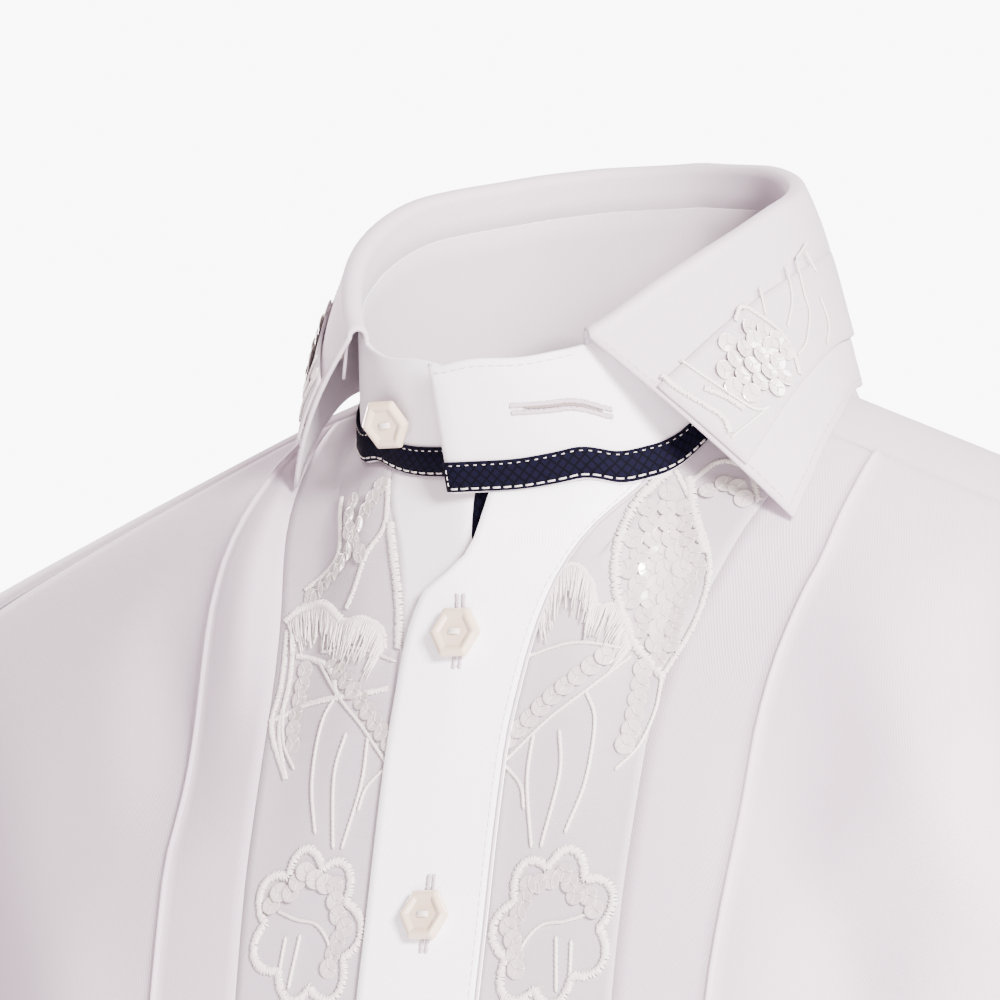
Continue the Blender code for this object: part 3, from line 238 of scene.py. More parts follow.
# How the sleeve leaves the armhole: its x and z at the underarm, and their growth towards the shoulder tip
HEAD_X = (0.75, 0.2)
HEAD_Z = (-0.66, 0.28)
HEAD_PULL_OUT = 0.38
HEAD_PULL_IN = 0.42
HEAD_ARRIVAL = (-0.17, 0.0, 0.985)
SLEEVE_TURN = -80.0

# Soft folds of the front: centre x, centre z, lean in degrees, half length, half width, height
FRONT_FOLDS = (
    (152.0, -118.0, 52.0, 70.0, 17.0, 4.0),
    (128.0, -190.0, 72.0, 90.0, 20.0, -3.0),
    (170.0, -225.0, 35.0, 60.0, 16.0, 3.5),
    (-150.0, -160.0, -60.0, 80.0, 18.0, 3.0),
    (-120.0, -240.0, -75.0, 90.0, 18.0, -2.5),
    (120.0, -400.0, 65.0, 110.0, 18.0, 4.0),
    (-128.0, -430.0, -60.0, 110.0, 18.0, 4.0),
    (150.0, -560.0, 78.0, 110.0, 20.0, -3.5),
    (-140.0, -590.0, -80.0, 100.0, 20.0, -3.5),
)
BACK_FOLDS = (
    (70.0, -270.0, 82.0, 130.0, 20.0, 4.5),
    (-85.0, -300.0, -80.0, 140.0, 22.0, 4.0),
    (10.0, -400.0, 88.0, 150.0, 24.0, -4.0),
    (120.0, -480.0, 70.0, 110.0, 20.0, 4.0),
    (-130.0, -520.0, -72.0, 100.0, 20.0, 4.0),
)
# Soft folds of each sleeve: angle round the arm, height, lean in degrees, half length, half width, depth
LEFT_SLEEVE_FOLDS = (
    (70.0, -250.0, 40.0, 55.0, 14.0, 3.0),
    (20.0, -400.0, 60.0, 50.0, 11.0, -3.0),
    (60.0, -425.0, 25.0, 55.0, 10.0, 3.0),
    (150.0, -470.0, -30.0, 60.0, 12.0, 3.0),
    (250.0, -440.0, 50.0, 50.0, 12.0, -3.0),
    (330.0, -520.0, -60.0, 60.0, 11.0, 3.0),
    (110.0, -570.0, 75.0, 50.0, 10.0, -2.5),
)
RIGHT_SLEEVE_FOLDS = (
    (80.0, -265.0, 35.0, 60.0, 14.0, 3.0),
    (35.0, -430.0, 50.0, 55.0, 11.0, -3.0),
    (80.0, -405.0, 20.0, 50.0, 11.0, 3.0),
    (170.0, -445.0, -35.0, 60.0, 12.0, 3.0),
    (265.0, -465.0, 45.0, 50.0, 12.0, -3.0),
    (320.0, -545.0, -55.0, 55.0, 10.0, 2.5),
    (120.0, -590.0, 70.0, 45.0, 10.0, -2.5),
)

# Buttons: six-sided, with a raised rim round a dished face. Section as shares of the radius and thickness
BUTTON_SECTION = (
    (0.0, 0.72),
    (0.55, 0.76),
    (0.72, 1.0),
    (0.84, 1.0),
    (1.0, 0.62),
    (1.0, 0.3),
    (0.86, 0.0),
    (0.0, 0.0),
)
BUTTON_RADIUS = 8.3
BUTTON_THICKNESS = 3.0
BUTTON_SIDES = 6
BUTTON_LIFT = 0.4
BUTTON_X = 1.0
BUTTON_HEIGHTS = (-80.0, -162.0, -243.0, -325.0, -407.0, -489.0, -571.0)
NECK_BUTTON_ANGLE = -24.0
NECK_BUTTON_HEIGHT = 19.5
SMALL_BUTTON_SCALE = 0.72

# Ribbon round the stand's lower edge
RIBBON_WIDTH = 8.5
RIBBON_FROM_EDGE = 0.6
RIBBON_GAP = 0.25

# Embroidered patch on each end of the fall
PATCH_TOP = 0.30
PATCH_BOTTOM = 0.74
PATCH_START = FALL_START + 0.6
PATCH_END = 116.0

# Tab behind each collar point
TAB_LENGTH = 24.0
TAB_HALF_WIDTH = 5.5
TAB_ANGLE = 52.0
TAB_END_SHARE = 0.55
TAB_DROP = 0.1
TAB_LEAN = 0.12
TAB_BUTTON_SHARE = 0.6
TAB_BUTTON_SCALE = 0.6

# Large flowers on the inserts: distance from the centre line, height, radius, lobes
FLOWERS = (
    (41.0, -166.0, 16.5, 7),
    (41.0, -330.0, 16.5, 7),
    (41.0, -495.0, 16.5, 7),
)
LOBE_DEPTH = 0.14
FLOWER_STRETCH = 1.25

# Cuff: angle where its lap starts, and how far it laps, in degrees
CUFF_LAP_FROM = 95.0
CUFF_LAP = 24.0
CUFF_LAP_RISE = (330.0, 358.0)
CUFF_BUTTON_SHARE = 0.4

# How finely each grid is divided
ARM_ROWS = 30
BODY_ROWS = 30
TOP_CROWDING = 1.4
UNDERARM_V = 0.3
NEAR_SHARES = tuple(np.linspace(0, 0.9, 7))
TUCK_PROFILE = ((-1.0, 0.0), (-0.66, 0.3), (-0.33, 0.82), (0.0, 1.0), (0.33, 0.82), (0.66, 0.3), (1.0, 0.0))
FAR_SHARES = tuple(np.linspace(0.03, 1.0, 26))
INSERT_COLUMNS = 16
PLACKET_COLUMNS = 16
RIGHT_PLACKET_COLUMNS = 10
TAPE_COLUMNS = 5
YOKE_ROWS = 22
YOKE_ARM_COLUMNS = 14
YOKE_BACK_COLUMNS = 48
ARM_SHARE = 0.2
SLEEVE_HEAD_STATIONS = tuple(np.linspace(0, 0.96, 22))
SLEEVE_ROWS = 36
CUFF_COLUMNS = 90
CUFF_ROWS = 12
STAND_STEPS = (48, 60, 36)
STAND_SHARES = (1.0, 0.85, 0.7, 0.5, 0.3, 0.15, 0.0)
RIBBON_SHARES = (1.0, 0.5, 0.0)
FALL_STEPS = (28, 56, 28)
STAND_SIDE_ANGLE = 70
FALL_SIDE_ANGLE = 80
FOLD_SWING = tuple(np.linspace(0, 165, 12))
LEAF_SHARES = (0.0, 0.03, 0.08, 0.15, 0.25, 0.38, 0.52, 0.66, 0.8, 0.92, 1.0)
PATCH_COLUMNS = 40
PATCH_ROWS = 12
TAB_SHARES = (0.0, 0.35, 0.7, 0.88, 1.0)

# Small steps for directions, and rounds that settle a height
NUDGE = 0.01
FIRST_TOP = -20.0
TOP_ROUNDS = 12
SHOULDER_ROUNDS = 40


def curve_through(stations, values):
    """A smooth curve through one column of a table, with no overshoot between its rows."""
    order = np.argsort(stations)
    s = np.asarray(stations, float)[order]
    v = np.asarray(values, float)[order]
    step = np.diff(s)
    slope = np.diff(v) / step
    tangent = np.zeros(len(s))
    tangent[0] = slope[0]
    tangent[-1] = slope[-1]
    product = slope[:-1] * slope[1:]
    turning = product <= 0
    total = np.where(turning, 1.0, slope[:-1] + slope[1:])
    tangent[1:-1] = np.where(turning, 0.0, 2 * product / total)

    def at(x):
        x = np.clip(x, s[0], s[-1])
        i = np.clip(np.searchsorted(s, x) - 1, 0, len(step) - 1)
        t = (x - s[i]) / step[i]
        rise = v[i] * (1 - t) ** 2 * (1 + 2 * t) + v[i + 1] * t**2 * (3 - 2 * t)
        bend = t * (1 - t) * (tangent[i] * (1 - t) - tangent[i + 1] * t)
        return rise + step[i] * bend

    return at


def columns(table):
    """One smooth curve for each column of a table after its first."""
    data = np.array(table)
    return [curve_through(data[:, 0], data[:, k]) for k in range(1, data.shape[1])]


def smooth_step(x, low, high):
    t = np.clip((x - low) / (high - low), 0.0, 1.0)
    return t * t * (3 - 2 * t)


half_width_at, front_depth_at, back_depth_at = columns(BODY_SECTIONS)
fold_height_at, roll_at = columns(COLLAR_HEIGHTS)
edge_x_at, edge_y_at, edge_clear_at = columns(FALL_EDGE)
(neck_turn_at,) = columns(NECKLINE_TURNS)
(right_lift_at,) = columns(RIGHT_NECKLINE_LIFT)
left_edge_at, left_seam_at, left_insert_at, left_tuck_at = columns(LEFT_LINES)
right_edge_at, right_tape_at, right_seam_at, right_insert_at, right_tuck_at = columns(RIGHT_LINES)
sleeve_x_at, sleeve_y_at, sleeve_width_at, sleeve_depth_at = columns(SLEEVE_SECTIONS)

ANGLE_STEPS = np.linspace(0.0, math.pi / 2, 400)
WIDTH_STEPS = np.sin(ANGLE_STEPS) * (1 + CORNER_FULLNESS * np.sin(2 * ANGLE_STEPS) ** 2)


def fold_relief(x, z, folds):
    """Height of the soft folds at a place, each one a long low ridge or trough."""
    relief = np.zeros(np.broadcast(x, z).shape)
    for centre_x, centre_z, lean, half_length, half_width, height in folds:
        across = math.cos(math.radians(lean)), math.sin(math.radians(lean))
        along = (x - centre_x) * across[0] + (z - centre_z) * across[1]
        aside = -(x - centre_x) * across[1] + (z - centre_z) * across[0]
        relief = relief + height * np.exp(-((along / half_length) ** 2) - (aside / half_width) ** 2)
    return relief


def corner_bulge(angle):
    return 1 + CORNER_FULLNESS * np.sin(2 * angle) ** 2


def ridge(x, rise):
    """Height of the shoulder ridge over x. Its rise inside the neckline carries the neck's curve."""
    height, inner, outer = rise
    near_neck = height * (1 - smooth_step(np.abs(x), inner, outer))
    return RIDGE_AT_CENTRE - SHOULDER_SLOPE * np.abs(x) + near_neck


def angle_of(x, z):
    """Angle round the body of a front point, from its x and height."""
    share = np.abs(x) / half_width_at(z)
    return np.interp(share, WIDTH_STEPS, ANGLE_STEPS)


def fullness(depth, reach):
    share = np.clip(depth / reach, 0.0, 1.0)
    return np.sqrt(1 - (1 - share) ** 2)


def body_point(angle, z):
    """The inside of the cloth at an angle round the body, from the centre front towards the left side."""
    bulge = corner_bulge(angle)
    x = half_width_at(z) * np.sin(angle) * bulge
    forward = np.cos(angle) * bulge
    front = np.cos(angle) > 0
    drop_front = fullness(ridge(x, FRONT_NECK_RISE) - z, FRONT_REACH)
    drop_back = fullness(ridge(x, BACK_NECK_RISE) - z, BACK_REACH)
    y_front = -(front_depth_at(z) * drop_front + fold_relief(x, z, FRONT_FOLDS)) * forward
    y_back = -(back_depth_at(z) * drop_back + fold_relief(x, z, BACK_FOLDS)) * forward
    y = np.where(front, y_front, y_back)
    return np.stack(np.broadcast_arrays(x, y, z), axis=-1)


def over_shoulder(x, front):
    """How far down the shoulder's curve reaches, and the height of its ridge."""
    reach = np.where(front, FRONT_REACH, BACK_REACH)
    return reach, np.where(front, ridge(x, FRONT_NECK_RISE), ridge(x, BACK_NECK_RISE))


def shoulder_point(x, turn):
    """The inside of the cloth over a shoulder, by a turn that is negative before the ridge."""
    front = turn < 0
    reach, top = over_shoulder(x, front)
    z = top - reach * (1 - np.cos(turn))
    depth = np.where(front, front_depth_at(z), back_depth_at(z))
    relief = np.where(front, fold_relief(x, z, FRONT_FOLDS), fold_relief(x, z, BACK_FOLDS))
    angle = angle_of(x, z)
    forward = np.cos(angle) * corner_bulge(angle)
    y = (depth * np.sin(turn) + relief * np.sign(turn)) * forward
    return np.stack(np.broadcast_arrays(x, y, z), axis=-1)


def unit(vectors):
    return vectors / np.linalg.norm(vectors, axis=-1, keepdims=True)


def body_layer(angle, z, lift):
    """Points of the body moved out from the inside of the cloth."""
    turn = 1e-3
    drop = 0.05
    round_body = body_point(angle + turn, z) - body_point(angle - turn, z)
    down_body = body_point(angle, z - drop) - body_point(angle, z + drop)
    normal = unit(np.cross(down_body, round_body))
    return body_point(angle, z) + normal * np.asarray(lift)[..., None]


def shoulder_normal(x, turn):
    across = 0.05
    swing = 1e-3
    out = shoulder_point(x - across, turn) - shoulder_point(x + across, turn)
    back = shoulder_point(x, turn + swing) - shoulder_point(x, turn - swing)
    normal = unit(np.cross(back, out))
    return normal * np.where(normal[..., 2:] < 0, -1.0, 1.0)


def coons(top, bottom, left, right, us, vs):
    """A grid of parameter pairs between four edges. Each edge is a function from 0 to 1."""
    u = us[None, :, None]
    v = vs[:, None, None]
    across = (1 - v) * top(us)[None] + v * bottom(us)[None]
    down = (1 - u) * left(vs)[:, None] + u * right(vs)[:, None]
    zero = np.array([0.0])
    one = np.array([1.0])
    corners = (1 - u) * (1 - v) * top(zero)[None] + u * (1 - v) * top(one)[None]
    corners = corners + (1 - u) * v * bottom(zero)[None] + u * v * bottom(one)[None]
    return across + down - corners


def settled(points):
    """The points with the right shoulder lifted, as all the cloth over it is."""
    points = np.array(points, float)
    sideways = smooth_step(-points[..., 0], *RIGHT_LIFT_X)
    upward = smooth_step(points[..., 2], *RIGHT_LIFT_Z)
    points[..., 2] += RIGHT_LIFT * sideways * upward
    return points


def inset(grid, gap):
    """The grid drawn in by the gap along its edges."""
    grid = grid.copy()
    grid[0] += unit(grid[1] - grid[0]) * gap
    grid[-1] += unit(grid[-2] - grid[-1]) * gap
    grid[:, 0] += unit(grid[:, 1] - grid[:, 0]) * gap
    grid[:, -1] += unit(grid[:, -2] - grid[:, -1]) * gap
    return grid


def mirrored(grid):
    return (grid * np.array([-1.0, 1.0, 1.0]))[:, ::-1]


def for_side(grid, side):
    return grid if side == "left" else mirrored(grid)


def table_angle(angle):
    """Degrees from the centre front, the same for both sides."""
    turned = np.degrees(angle) % 360
    return np.where(turned > 180, 360 - turned, turned)


def neckline(angle):
    """x, turn over the shoulder, and inside point of the neckline at an angle round the neck."""
    x = NECK_HALF_WIDTH * np.sin(angle)
    turn = neck_turn_at(table_angle(angle))
    turn = np.radians(turn + np.where(np.degrees(angle) > 180, right_lift_at(table_angle(angle)), 0.0))
    return x, turn, shoulder_point(x, turn)


def height_over(x, y):
    """Height of the shirt's inside over a place of the shoulders."""
    front = y < 0
    reach, top = over_shoulder(x, front)
    z = top
    for _ in range(SHOULDER_ROUNDS):
        depth = np.where(front, front_depth_at(z), back_depth_at(z))
        around = angle_of(x, z)
        forward = np.cos(around) * corner_bulge(around)
        share = np.clip(np.abs(y) / (depth * forward), 0.0, 0.98)
        z = top - reach * (1 - np.sqrt(1 - share**2))
    return z


def neck_edge(x, side):
    """Body angle and height of the front neckline over x, for x up to the yoke."""
    angle = np.arcsin(np.clip(np.abs(x) / NECK_HALF_WIDTH, 0.0, 1.0))
    angle = angle if side == "left" else 2 * math.pi - angle
    z = neckline(angle)[2][..., 2]
    return np.sign(x) * angle_of(x, z), z


def forward_seam(x):
    z = ridge(x, FRONT_NECK_RISE) - FORWARD_SEAM_DROP - CURVED_SEAM_GAP
    return angle_of(x, z), z


def hem_height(angle):
    return HEM_Z + HEM_RISE * np.sin(angle) ** 4


def armhole(t):
    """x and height along the armhole, from 0 at the shoulder tip to 1 at the underarm."""
    tip = ridge(SHOULDER_TIP_X, FRONT_NECK_RISE)
    z = tip + (UNDERARM_Z - tip) * t
    foot = half_width_at(UNDERARM_Z)
    x = SHOULDER_TIP_X + (foot - SHOULDER_TIP_X) * t - ARMHOLE_HOLLOW * np.sin(math.pi * t)
    return x, z


def armhole_angle(t):
    x, z = armhole(t)
    return np.where(t > 1 - 1e-6, math.pi / 2, angle_of(x, z)), z


TIP_Z = RIDGE_AT_CENTRE - SHOULDER_SLOPE * SHOULDER_TIP_X
FORWARD_T = FORWARD_SEAM_DROP / (TIP_Z - UNDERARM_Z)
BACK_SEAM_END_Z = BACK_SEAM_Z - BACK_SEAM_FALL * SHOULDER_TIP_X
BACK_T = (TIP_Z - BACK_SEAM_END_Z) / (TIP_Z - UNDERARM_Z)
FRONT_ARM_STATIONS = FORWARD_T + (1 - FORWARD_T) * np.linspace(0, 1, ARM_ROWS + 1) ** 1.15
BACK_ARM_STATIONS = BACK_T + (1 - BACK_T) * np.linspace(0, 1, ARM_ROWS)


def upper_stations(count):
    return UNDERARM_V * np.linspace(0, 1, count) ** TOP_CROWDING


def row_stations(count):
    """Rows of a body panel: some along the armhole, closer at the top, and the rest below it."""
    upper = upper_stations(count)
    lower = np.linspace(UNDERARM_V, 1, BODY_ROWS + 1)[1:]
    return np.concatenate([upper, lower])


def height_between(v, top, bottom):
    return np.interp(v, [0.0, UNDERARM_V, 1.0], [top, UNDERARM_Z, bottom])


def line_edge(line, top_of):
    """A lengthwise seam of the front from its top edge to the hem, as body angle and height."""
    top = FIRST_TOP
    for _ in range(TOP_ROUNDS):
        top = float(top_of(np.array([line(top)]))[1][0])

    def edge(v):
        z = height_between(v, top, HEM_Z)
        x = line(z)
        angle = np.sign(x) * angle_of(x, z)
        z = np.where(z < UNDERARM_Z, height_between(v, top, hem_height(angle[-1:])[0]), z)
        return np.stack([angle, z], axis=-1)

    return edge


def moved_aside(edge, distance):
    """A lengthwise edge moved round the body by a distance."""

    def moved(v):
        cells = edge(v)
        cells[..., 0] += distance / half_width_at(cells[..., 1])
        return cells

    return moved


def hem_edge(left, right):
    first = left(np.array([1.0]))[0, 0]
    last = right(np.array([1.0]))[0, 0]

    def edge(u):
        angle = first + (last - first) * u
        return np.stack([angle, hem_height(angle)], axis=-1)

    return edge


def top_edge(left, right, top_of):
    """The top of a front piece: the part of the neckline and yoke seam between its two side edges."""
    first = left(np.array([0.0]))[0]
    last = right(np.array([0.0]))[0]
    x_first = body_point(first[0], first[1])[0]
    x_last = body_point(last[0], last[1])[0]

    def edge(u):
        return np.stack(top_of(x_first + (x_last - x_first) * u), axis=-1)

    return edge


def front_top(x, side="left"):
    """The neckline inside the yoke's end, and the yoke seam outside it."""
    inside = np.abs(x) < YOKE_NECK_X
    neck_angle, neck_z = neck_edge(np.where(inside, x, YOKE_NECK_X), side)
    seam_angle, seam_z = forward_seam(np.abs(x))
    return np.where(inside, neck_angle, seam_angle), np.where(inside, neck_z, seam_z)


def right_top(x):
    return front_top(x, "right")


def lap_lift(angle, z):
    """How far the open left front stands off near the collar."""
    x = half_width_at(z) * np.sin(angle)
    sideways = 1 - smooth_step(x, *LAP_X)
    upward = smooth_step(z, *LAP_Z)
    return (LAP_LIFT - WALL - PLACKET_GAP) * sideways * upward


def strip(left_line, right_line, across, top_of=front_top):
    """Grid of body angles and heights for a lengthwise strip of the front."""
    left = line_edge(left_line, top_of)
    right = line_edge(right_line, top_of)
    vs = row_stations(ARM_ROWS + 1)
    return coons(top_edge(left, right, top_of), hem_edge(left, right), left, right, across, vs)


def side_edge(count, stations):
    """The edge of a front or of the back's left half, down the armhole and then the side seam."""

    def edge(v):
        t = np.interp(v, upper_stations(count), stations)
        angle, z = armhole_angle(t)
        below = v > UNDERARM_V
        z = np.where(below, height_between(v, TIP_Z, hem_height(math.pi / 2)), z)
        return np.stack([np.where(below, math.pi / 2, angle), z], axis=-1)

    return edge


def front_side(tuck_line, insert_line, top_of):
    """Grid for a front from its insert to the armhole and side seam, with columns over the tuck's ridge."""
    inner = line_edge(insert_line, top_of)
    tuck = line_edge(tuck_line, top_of)
    outer = side_edge(ARM_ROWS + 1, FRONT_ARM_STATIONS)
    vs = row_stations(ARM_ROWS + 1)
    before = moved_aside(tuck, -TUCK_HALF_WIDTH)
    behind = moved_aside(tuck, TUCK_HALF_WIDTH)
    near_top = top_edge(inner, before, top_of)
    near = coons(near_top, hem_edge(inner, before), inner, before, np.array(NEAR_SHARES), vs)
    far_top = top_edge(behind, outer, top_of)
    far = coons(far_top, hem_edge(behind, outer), behind, outer, np.array(FAR_SHARES), vs)
    middle = tuck(vs)[:, None]
    beside = TUCK_HALF_WIDTH / half_width_at(middle[..., 1])
    steps = np.array([offset for offset, _ in TUCK_PROFILE])
    around = np.stack(np.broadcast_arrays(middle[..., 0] + beside * steps, middle[..., 1]), axis=-1)
    return np.concatenate([near, around, far], axis=1)


def on_body(cells, side, lift=0.0):
    """Points of the body over cells of the left front, or over the same cells of the right one."""
    if side == "right":
        cells = cells[:, ::-1] * np.array([-1.0, 1.0])
    lifts = np.broadcast_to(lift, cells.shape[:2])
    return settled(inset(body_layer(cells[..., 0], cells[..., 1], lifts), SEAM_GAP / 2))


def front_grid(side):
    """A front, and the height of its outer face over each point, which is raised along the tuck."""
    line = (left_tuck_at, left_insert_at) if side == "left" else (right_tuck_at, right_insert_at)
    cells = front_side(*line, front_top if side == "left" else right_top)
    lift = lap_lift(cells[..., 0], cells[..., 1]) if side == "left" else 0.0
    grid = on_body(cells, side, lift)
    raised = np.full(grid.shape[:2], WALL)
    for column, (_, share) in enumerate(TUCK_PROFILE, start=len(NEAR_SHARES)):
        raised[:, column] = WALL + TUCK_HEIGHT * share
    return grid, raised if side == "left" else raised[:, ::-1]


def insert_grid(side):
    across = np.linspace(0, 1, INSERT_COLUMNS)
    if side == "left":
        cells = strip(left_seam_at, left_insert_at, across)
        return on_body(cells, side, lap_lift(cells[..., 0], cells[..., 1]))
    return on_body(strip(right_seam_at, right_insert_at, across, right_top), side)


def placket_left_grid():
    """The left placket laps over the right one and over the edge of its own insert."""
    across = np.linspace(0, 1, PLACKET_COLUMNS)
    cells = strip(left_edge_at, lambda z: left_seam_at(z) + PLACKET_OVERLAP, across)
    return on_body(cells, "left", WALL + PLACKET_GAP + lap_lift(cells[..., 0], cells[..., 1]))


def placket_right_grid(outer_line, inner_line, count):
    return on_body(strip(outer_line, inner_line, np.linspace(0, 1, count), right_top), "right")


def yoke_arm(share):
    """x and turn along the armhole over the shoulder, from the forward seam to the back seam."""
    turn_front = -math.acos(1 - FORWARD_SEAM_DROP / FRONT_REACH)
    turn_back = math.acos(1 - (TIP_Z - BACK_SEAM_END_Z) / BACK_REACH)
    turn = turn_front + (turn_back - turn_front) * share
    reach = np.where(turn < 0, FRONT_REACH, BACK_REACH)
    x = np.full(np.shape(share), SHOULDER_TIP_X)
    for _ in range(TOP_ROUNDS):
        z = ridge(x, FRONT_NECK_RISE) - reach * (1 - np.cos(turn))
        x = armhole((TIP_Z - z) / (TIP_Z - UNDERARM_Z))[0]
    return x, turn


def back_seam(x):
    """Turn of the back yoke seam over x."""
    z = BACK_SEAM_Z - BACK_SEAM_FALL * np.abs(x)
    depth = ridge(x, BACK_NECK_RISE) - z
    return np.arccos(np.clip(1 - depth / BACK_REACH, -1.0, 1.0))


def yoke_grid():
    """One piece over both shoulders, from seam to seam, round the back of the neck."""
    corner_x, corner_turn = yoke_arm(np.array([1.0]))

    def neck(u):
        angle = np.radians(YOKE_NECK_ANGLE + (360 - 2 * YOKE_NECK_ANGLE) * u)
        x, turn, _ = neckline(angle)
        return np.stack([x, turn], axis=-1)

    def outer(u):
        half = np.where(u > 0.5, 1 - u, u)
        side = np.where(u > 0.5, -1.0, 1.0)
        arm_x, arm_turn = yoke_arm(np.clip(half / ARM_SHARE, 0, 1))
        share = np.clip((half - ARM_SHARE) / (0.5 - ARM_SHARE), 0, 1)
        seam_x = corner_x * (1 - share)
        seam_turn = back_seam(seam_x)
        blend = 1 - smooth_step(share, 0.0, CORNER_BLEND)
        seam_turn = seam_turn + (corner_turn - back_seam(corner_x)) * blend
        on_arm = half <= ARM_SHARE
        x = np.where(on_arm, arm_x, seam_x) * side
        return np.stack([x, np.where(on_arm, arm_turn, seam_turn)], axis=-1)

    def forward(side):
        start = neck(np.array([0.0]))[0]
        end_x, end_turn = yoke_arm(np.array([0.0]))

        def edge(v):
            x = start[0] + (end_x - start[0]) * v
            turn = start[1] + (end_turn - start[1]) * smooth_step(v, 0.0, NECK_BLEND)
            return np.stack([x * side, turn], axis=-1)

        return edge

    arm = np.linspace(0, ARM_SHARE, YOKE_ARM_COLUMNS)
    middle = np.linspace(ARM_SHARE, 1 - ARM_SHARE, YOKE_BACK_COLUMNS + 1)[1:-1]
    us = np.concatenate([arm, middle, 1 - arm[::-1]])
    cells = coons(neck, outer, forward(1.0), forward(-1.0), us, np.linspace(0, 1, YOKE_ROWS))
    return settled(inset(shoulder_point(cells[..., 0], cells[..., 1]), SEAM_GAP / 2))


def back_grid():
    """Below the yoke seam, from side seam to side seam."""
    corner_x, corner_z = armhole(BACK_T)
    outer = side_edge(ARM_ROWS, BACK_ARM_STATIONS)

    def top(u):
        x = corner_x * (1 - 2 * u)
        z = BACK_SEAM_Z - BACK_SEAM_FALL * np.abs(x) - CURVED_SEAM_GAP
        blend = 1 - smooth_step(1 - np.abs(1 - 2 * u), 0.0, CORNER_BLEND)
        z = z + (corner_z - (BACK_SEAM_Z - BACK_SEAM_FALL * corner_x)) * blend
        return np.stack([math.pi - np.sign(x) * angle_of(x, z), z], axis=-1)

    def left(v):
        return np.array([math.pi, 0.0]) + outer(v) * np.array([-1.0, 1.0])

    def right(v):
        return np.array([math.pi, 0.0]) + outer(v)

    across = np.linspace(0, 1, YOKE_BACK_COLUMNS + 1)
    cells = coons(top, hem_edge(left, right), left, right, across, row_stations(ARM_ROWS))
    grid = body_layer(cells[..., 0], cells[..., 1], np.zeros(cells.shape[:2]))
    return settled(inset(grid, SEAM_GAP / 2))


def armhole_ring(side):
    """Inside points and outward normals of an armhole, up its front, over the tip and down its back.

    The right armhole is turned over to the left side, so that one sleeve's steps serve for both.
    """
    sign = 1.0 if side == "left" else -1.0
    points = []
    normals = []

    def add_level(angle, z):
        points.append(body_point(angle, z))
        normals.append(body_layer(angle, z, np.ones(len(z))) - points[-1])

    angle, z = armhole_angle(FRONT_ARM_STATIONS[::-1])
    add_level(sign * angle, z)
    x, turn = yoke_arm(np.linspace(0, 1, YOKE_ARM_COLUMNS)[1:-1])
    points.append(shoulder_point(sign * x, turn))
    normals.append(shoulder_normal(sign * x, turn))
    angle, z = armhole_angle(BACK_ARM_STATIONS[:-1])
    add_level(sign * (math.pi - angle), z)
    flip = np.array([sign, 1.0, 1.0])
    return np.concatenate(points) * flip, np.concatenate(normals) * flip


def sleeve_ring(z, angles, folds):
    """A level ring of the left sleeve."""
    relief = np.zeros(angles.shape)
    for centre, height, lean, half_length, half_width, depth in folds:
        around = (np.degrees(angles) - centre + 180) % 360 - 180
        aside = around * math.radians(1) * sleeve_width_at(z)
        tilt = math.radians(lean)
        along = aside * math.cos(tilt) + (z - height) * math.sin(tilt)
        across = (z - height) * math.cos(tilt) - aside * math.sin(tilt)
        relief = relief + depth * np.exp(-((along / half_length) ** 2) - (across / half_width) ** 2)
    x = sleeve_x_at(z) + (sleeve_width_at(z) + relief) * np.sin(angles)
    y = sleeve_y_at(z) - (sleeve_depth_at(z) + relief) * np.cos(angles)
    return np.stack([x, y, np.full(angles.shape, z)], axis=-1)


def clear_of_body(ring, normal, leaving):
    """The ring moved along the sleeve until the sleeve's wall is a seam's gap clear of the body's wall."""
    ahead = unit(np.roll(ring, -1, axis=0) - np.roll(ring, 1, axis=0))
    past_edge = unit(np.cross(ahead, normal))
    along = unit(leaving - np.sum(leaving * ahead, axis=1, keepdims=True) * ahead)
    onward = np.sum(along * past_edge, axis=1)
    lifted = np.maximum(np.sum(along * normal, axis=1), 1e-3)
    beyond = (CURVED_SEAM_GAP + WALL * lifted) / np.maximum(onward, 1e-3)
    above = (3 * CURVED_SEAM_GAP + WALL * (1 - onward)) / lifted
    return ring + leaving * np.minimum(beyond, above)[:, None]


def sleeve_grid(side):
    """A sleeve: a head that leaves the armhole and bends down into level rings."""
    start, normal = armhole_ring(side)
    folds = LEFT_SLEEVE_FOLDS if side == "left" else RIGHT_SLEEVE_FOLDS
    count = len(start)
    angles = math.radians(SLEEVE_TURN) + np.linspace(0, 2 * math.pi, count, endpoint=False)
    first = SLEEVE_SECTIONS[0][0]
    goal = sleeve_ring(first, angles, folds)
    height = (start[:, 2:] - UNDERARM_Z) / (TIP_Z - UNDERARM_Z)
    leaving = [HEAD_X[0] + HEAD_X[1] * height, 0 * height, HEAD_Z[1] * height + HEAD_Z[0]]
    leaving = unit(np.concatenate(leaving, axis=1))
    start = clear_of_body(start, normal, leaving)
    stretch = np.linalg.norm(goal - start, axis=1, keepdims=True)
    pull_out = start + leaving * stretch * HEAD_PULL_OUT
    pull_in = goal + np.array(HEAD_ARRIVAL) * stretch * HEAD_PULL_IN
    rows = []
    for t in SLEEVE_HEAD_STATIONS:
        row = (1 - t) ** 3 * start + 3 * (1 - t) ** 2 * t * pull_out
        rows.append(row + 3 * (1 - t) * t**2 * pull_in + t**3 * goal)
    for z in np.linspace(first, SLEEVE_END_Z, SLEEVE_ROWS):
        rows.append(sleeve_ring(z, angles, folds))
    return settled(for_side(np.stack(rows), side))


def cuff_point(angle, z, lift):
    """The left cuff: its lapped end lies over its start on the outer side."""
    x = sleeve_x_at(z) + (sleeve_width_at(z) + lift) * np.sin(angle)
    y = sleeve_y_at(z) - (sleeve_depth_at(z) + lift) * np.cos(angle)
    return np.stack(np.broadcast_arrays(x, y, z), axis=-1)


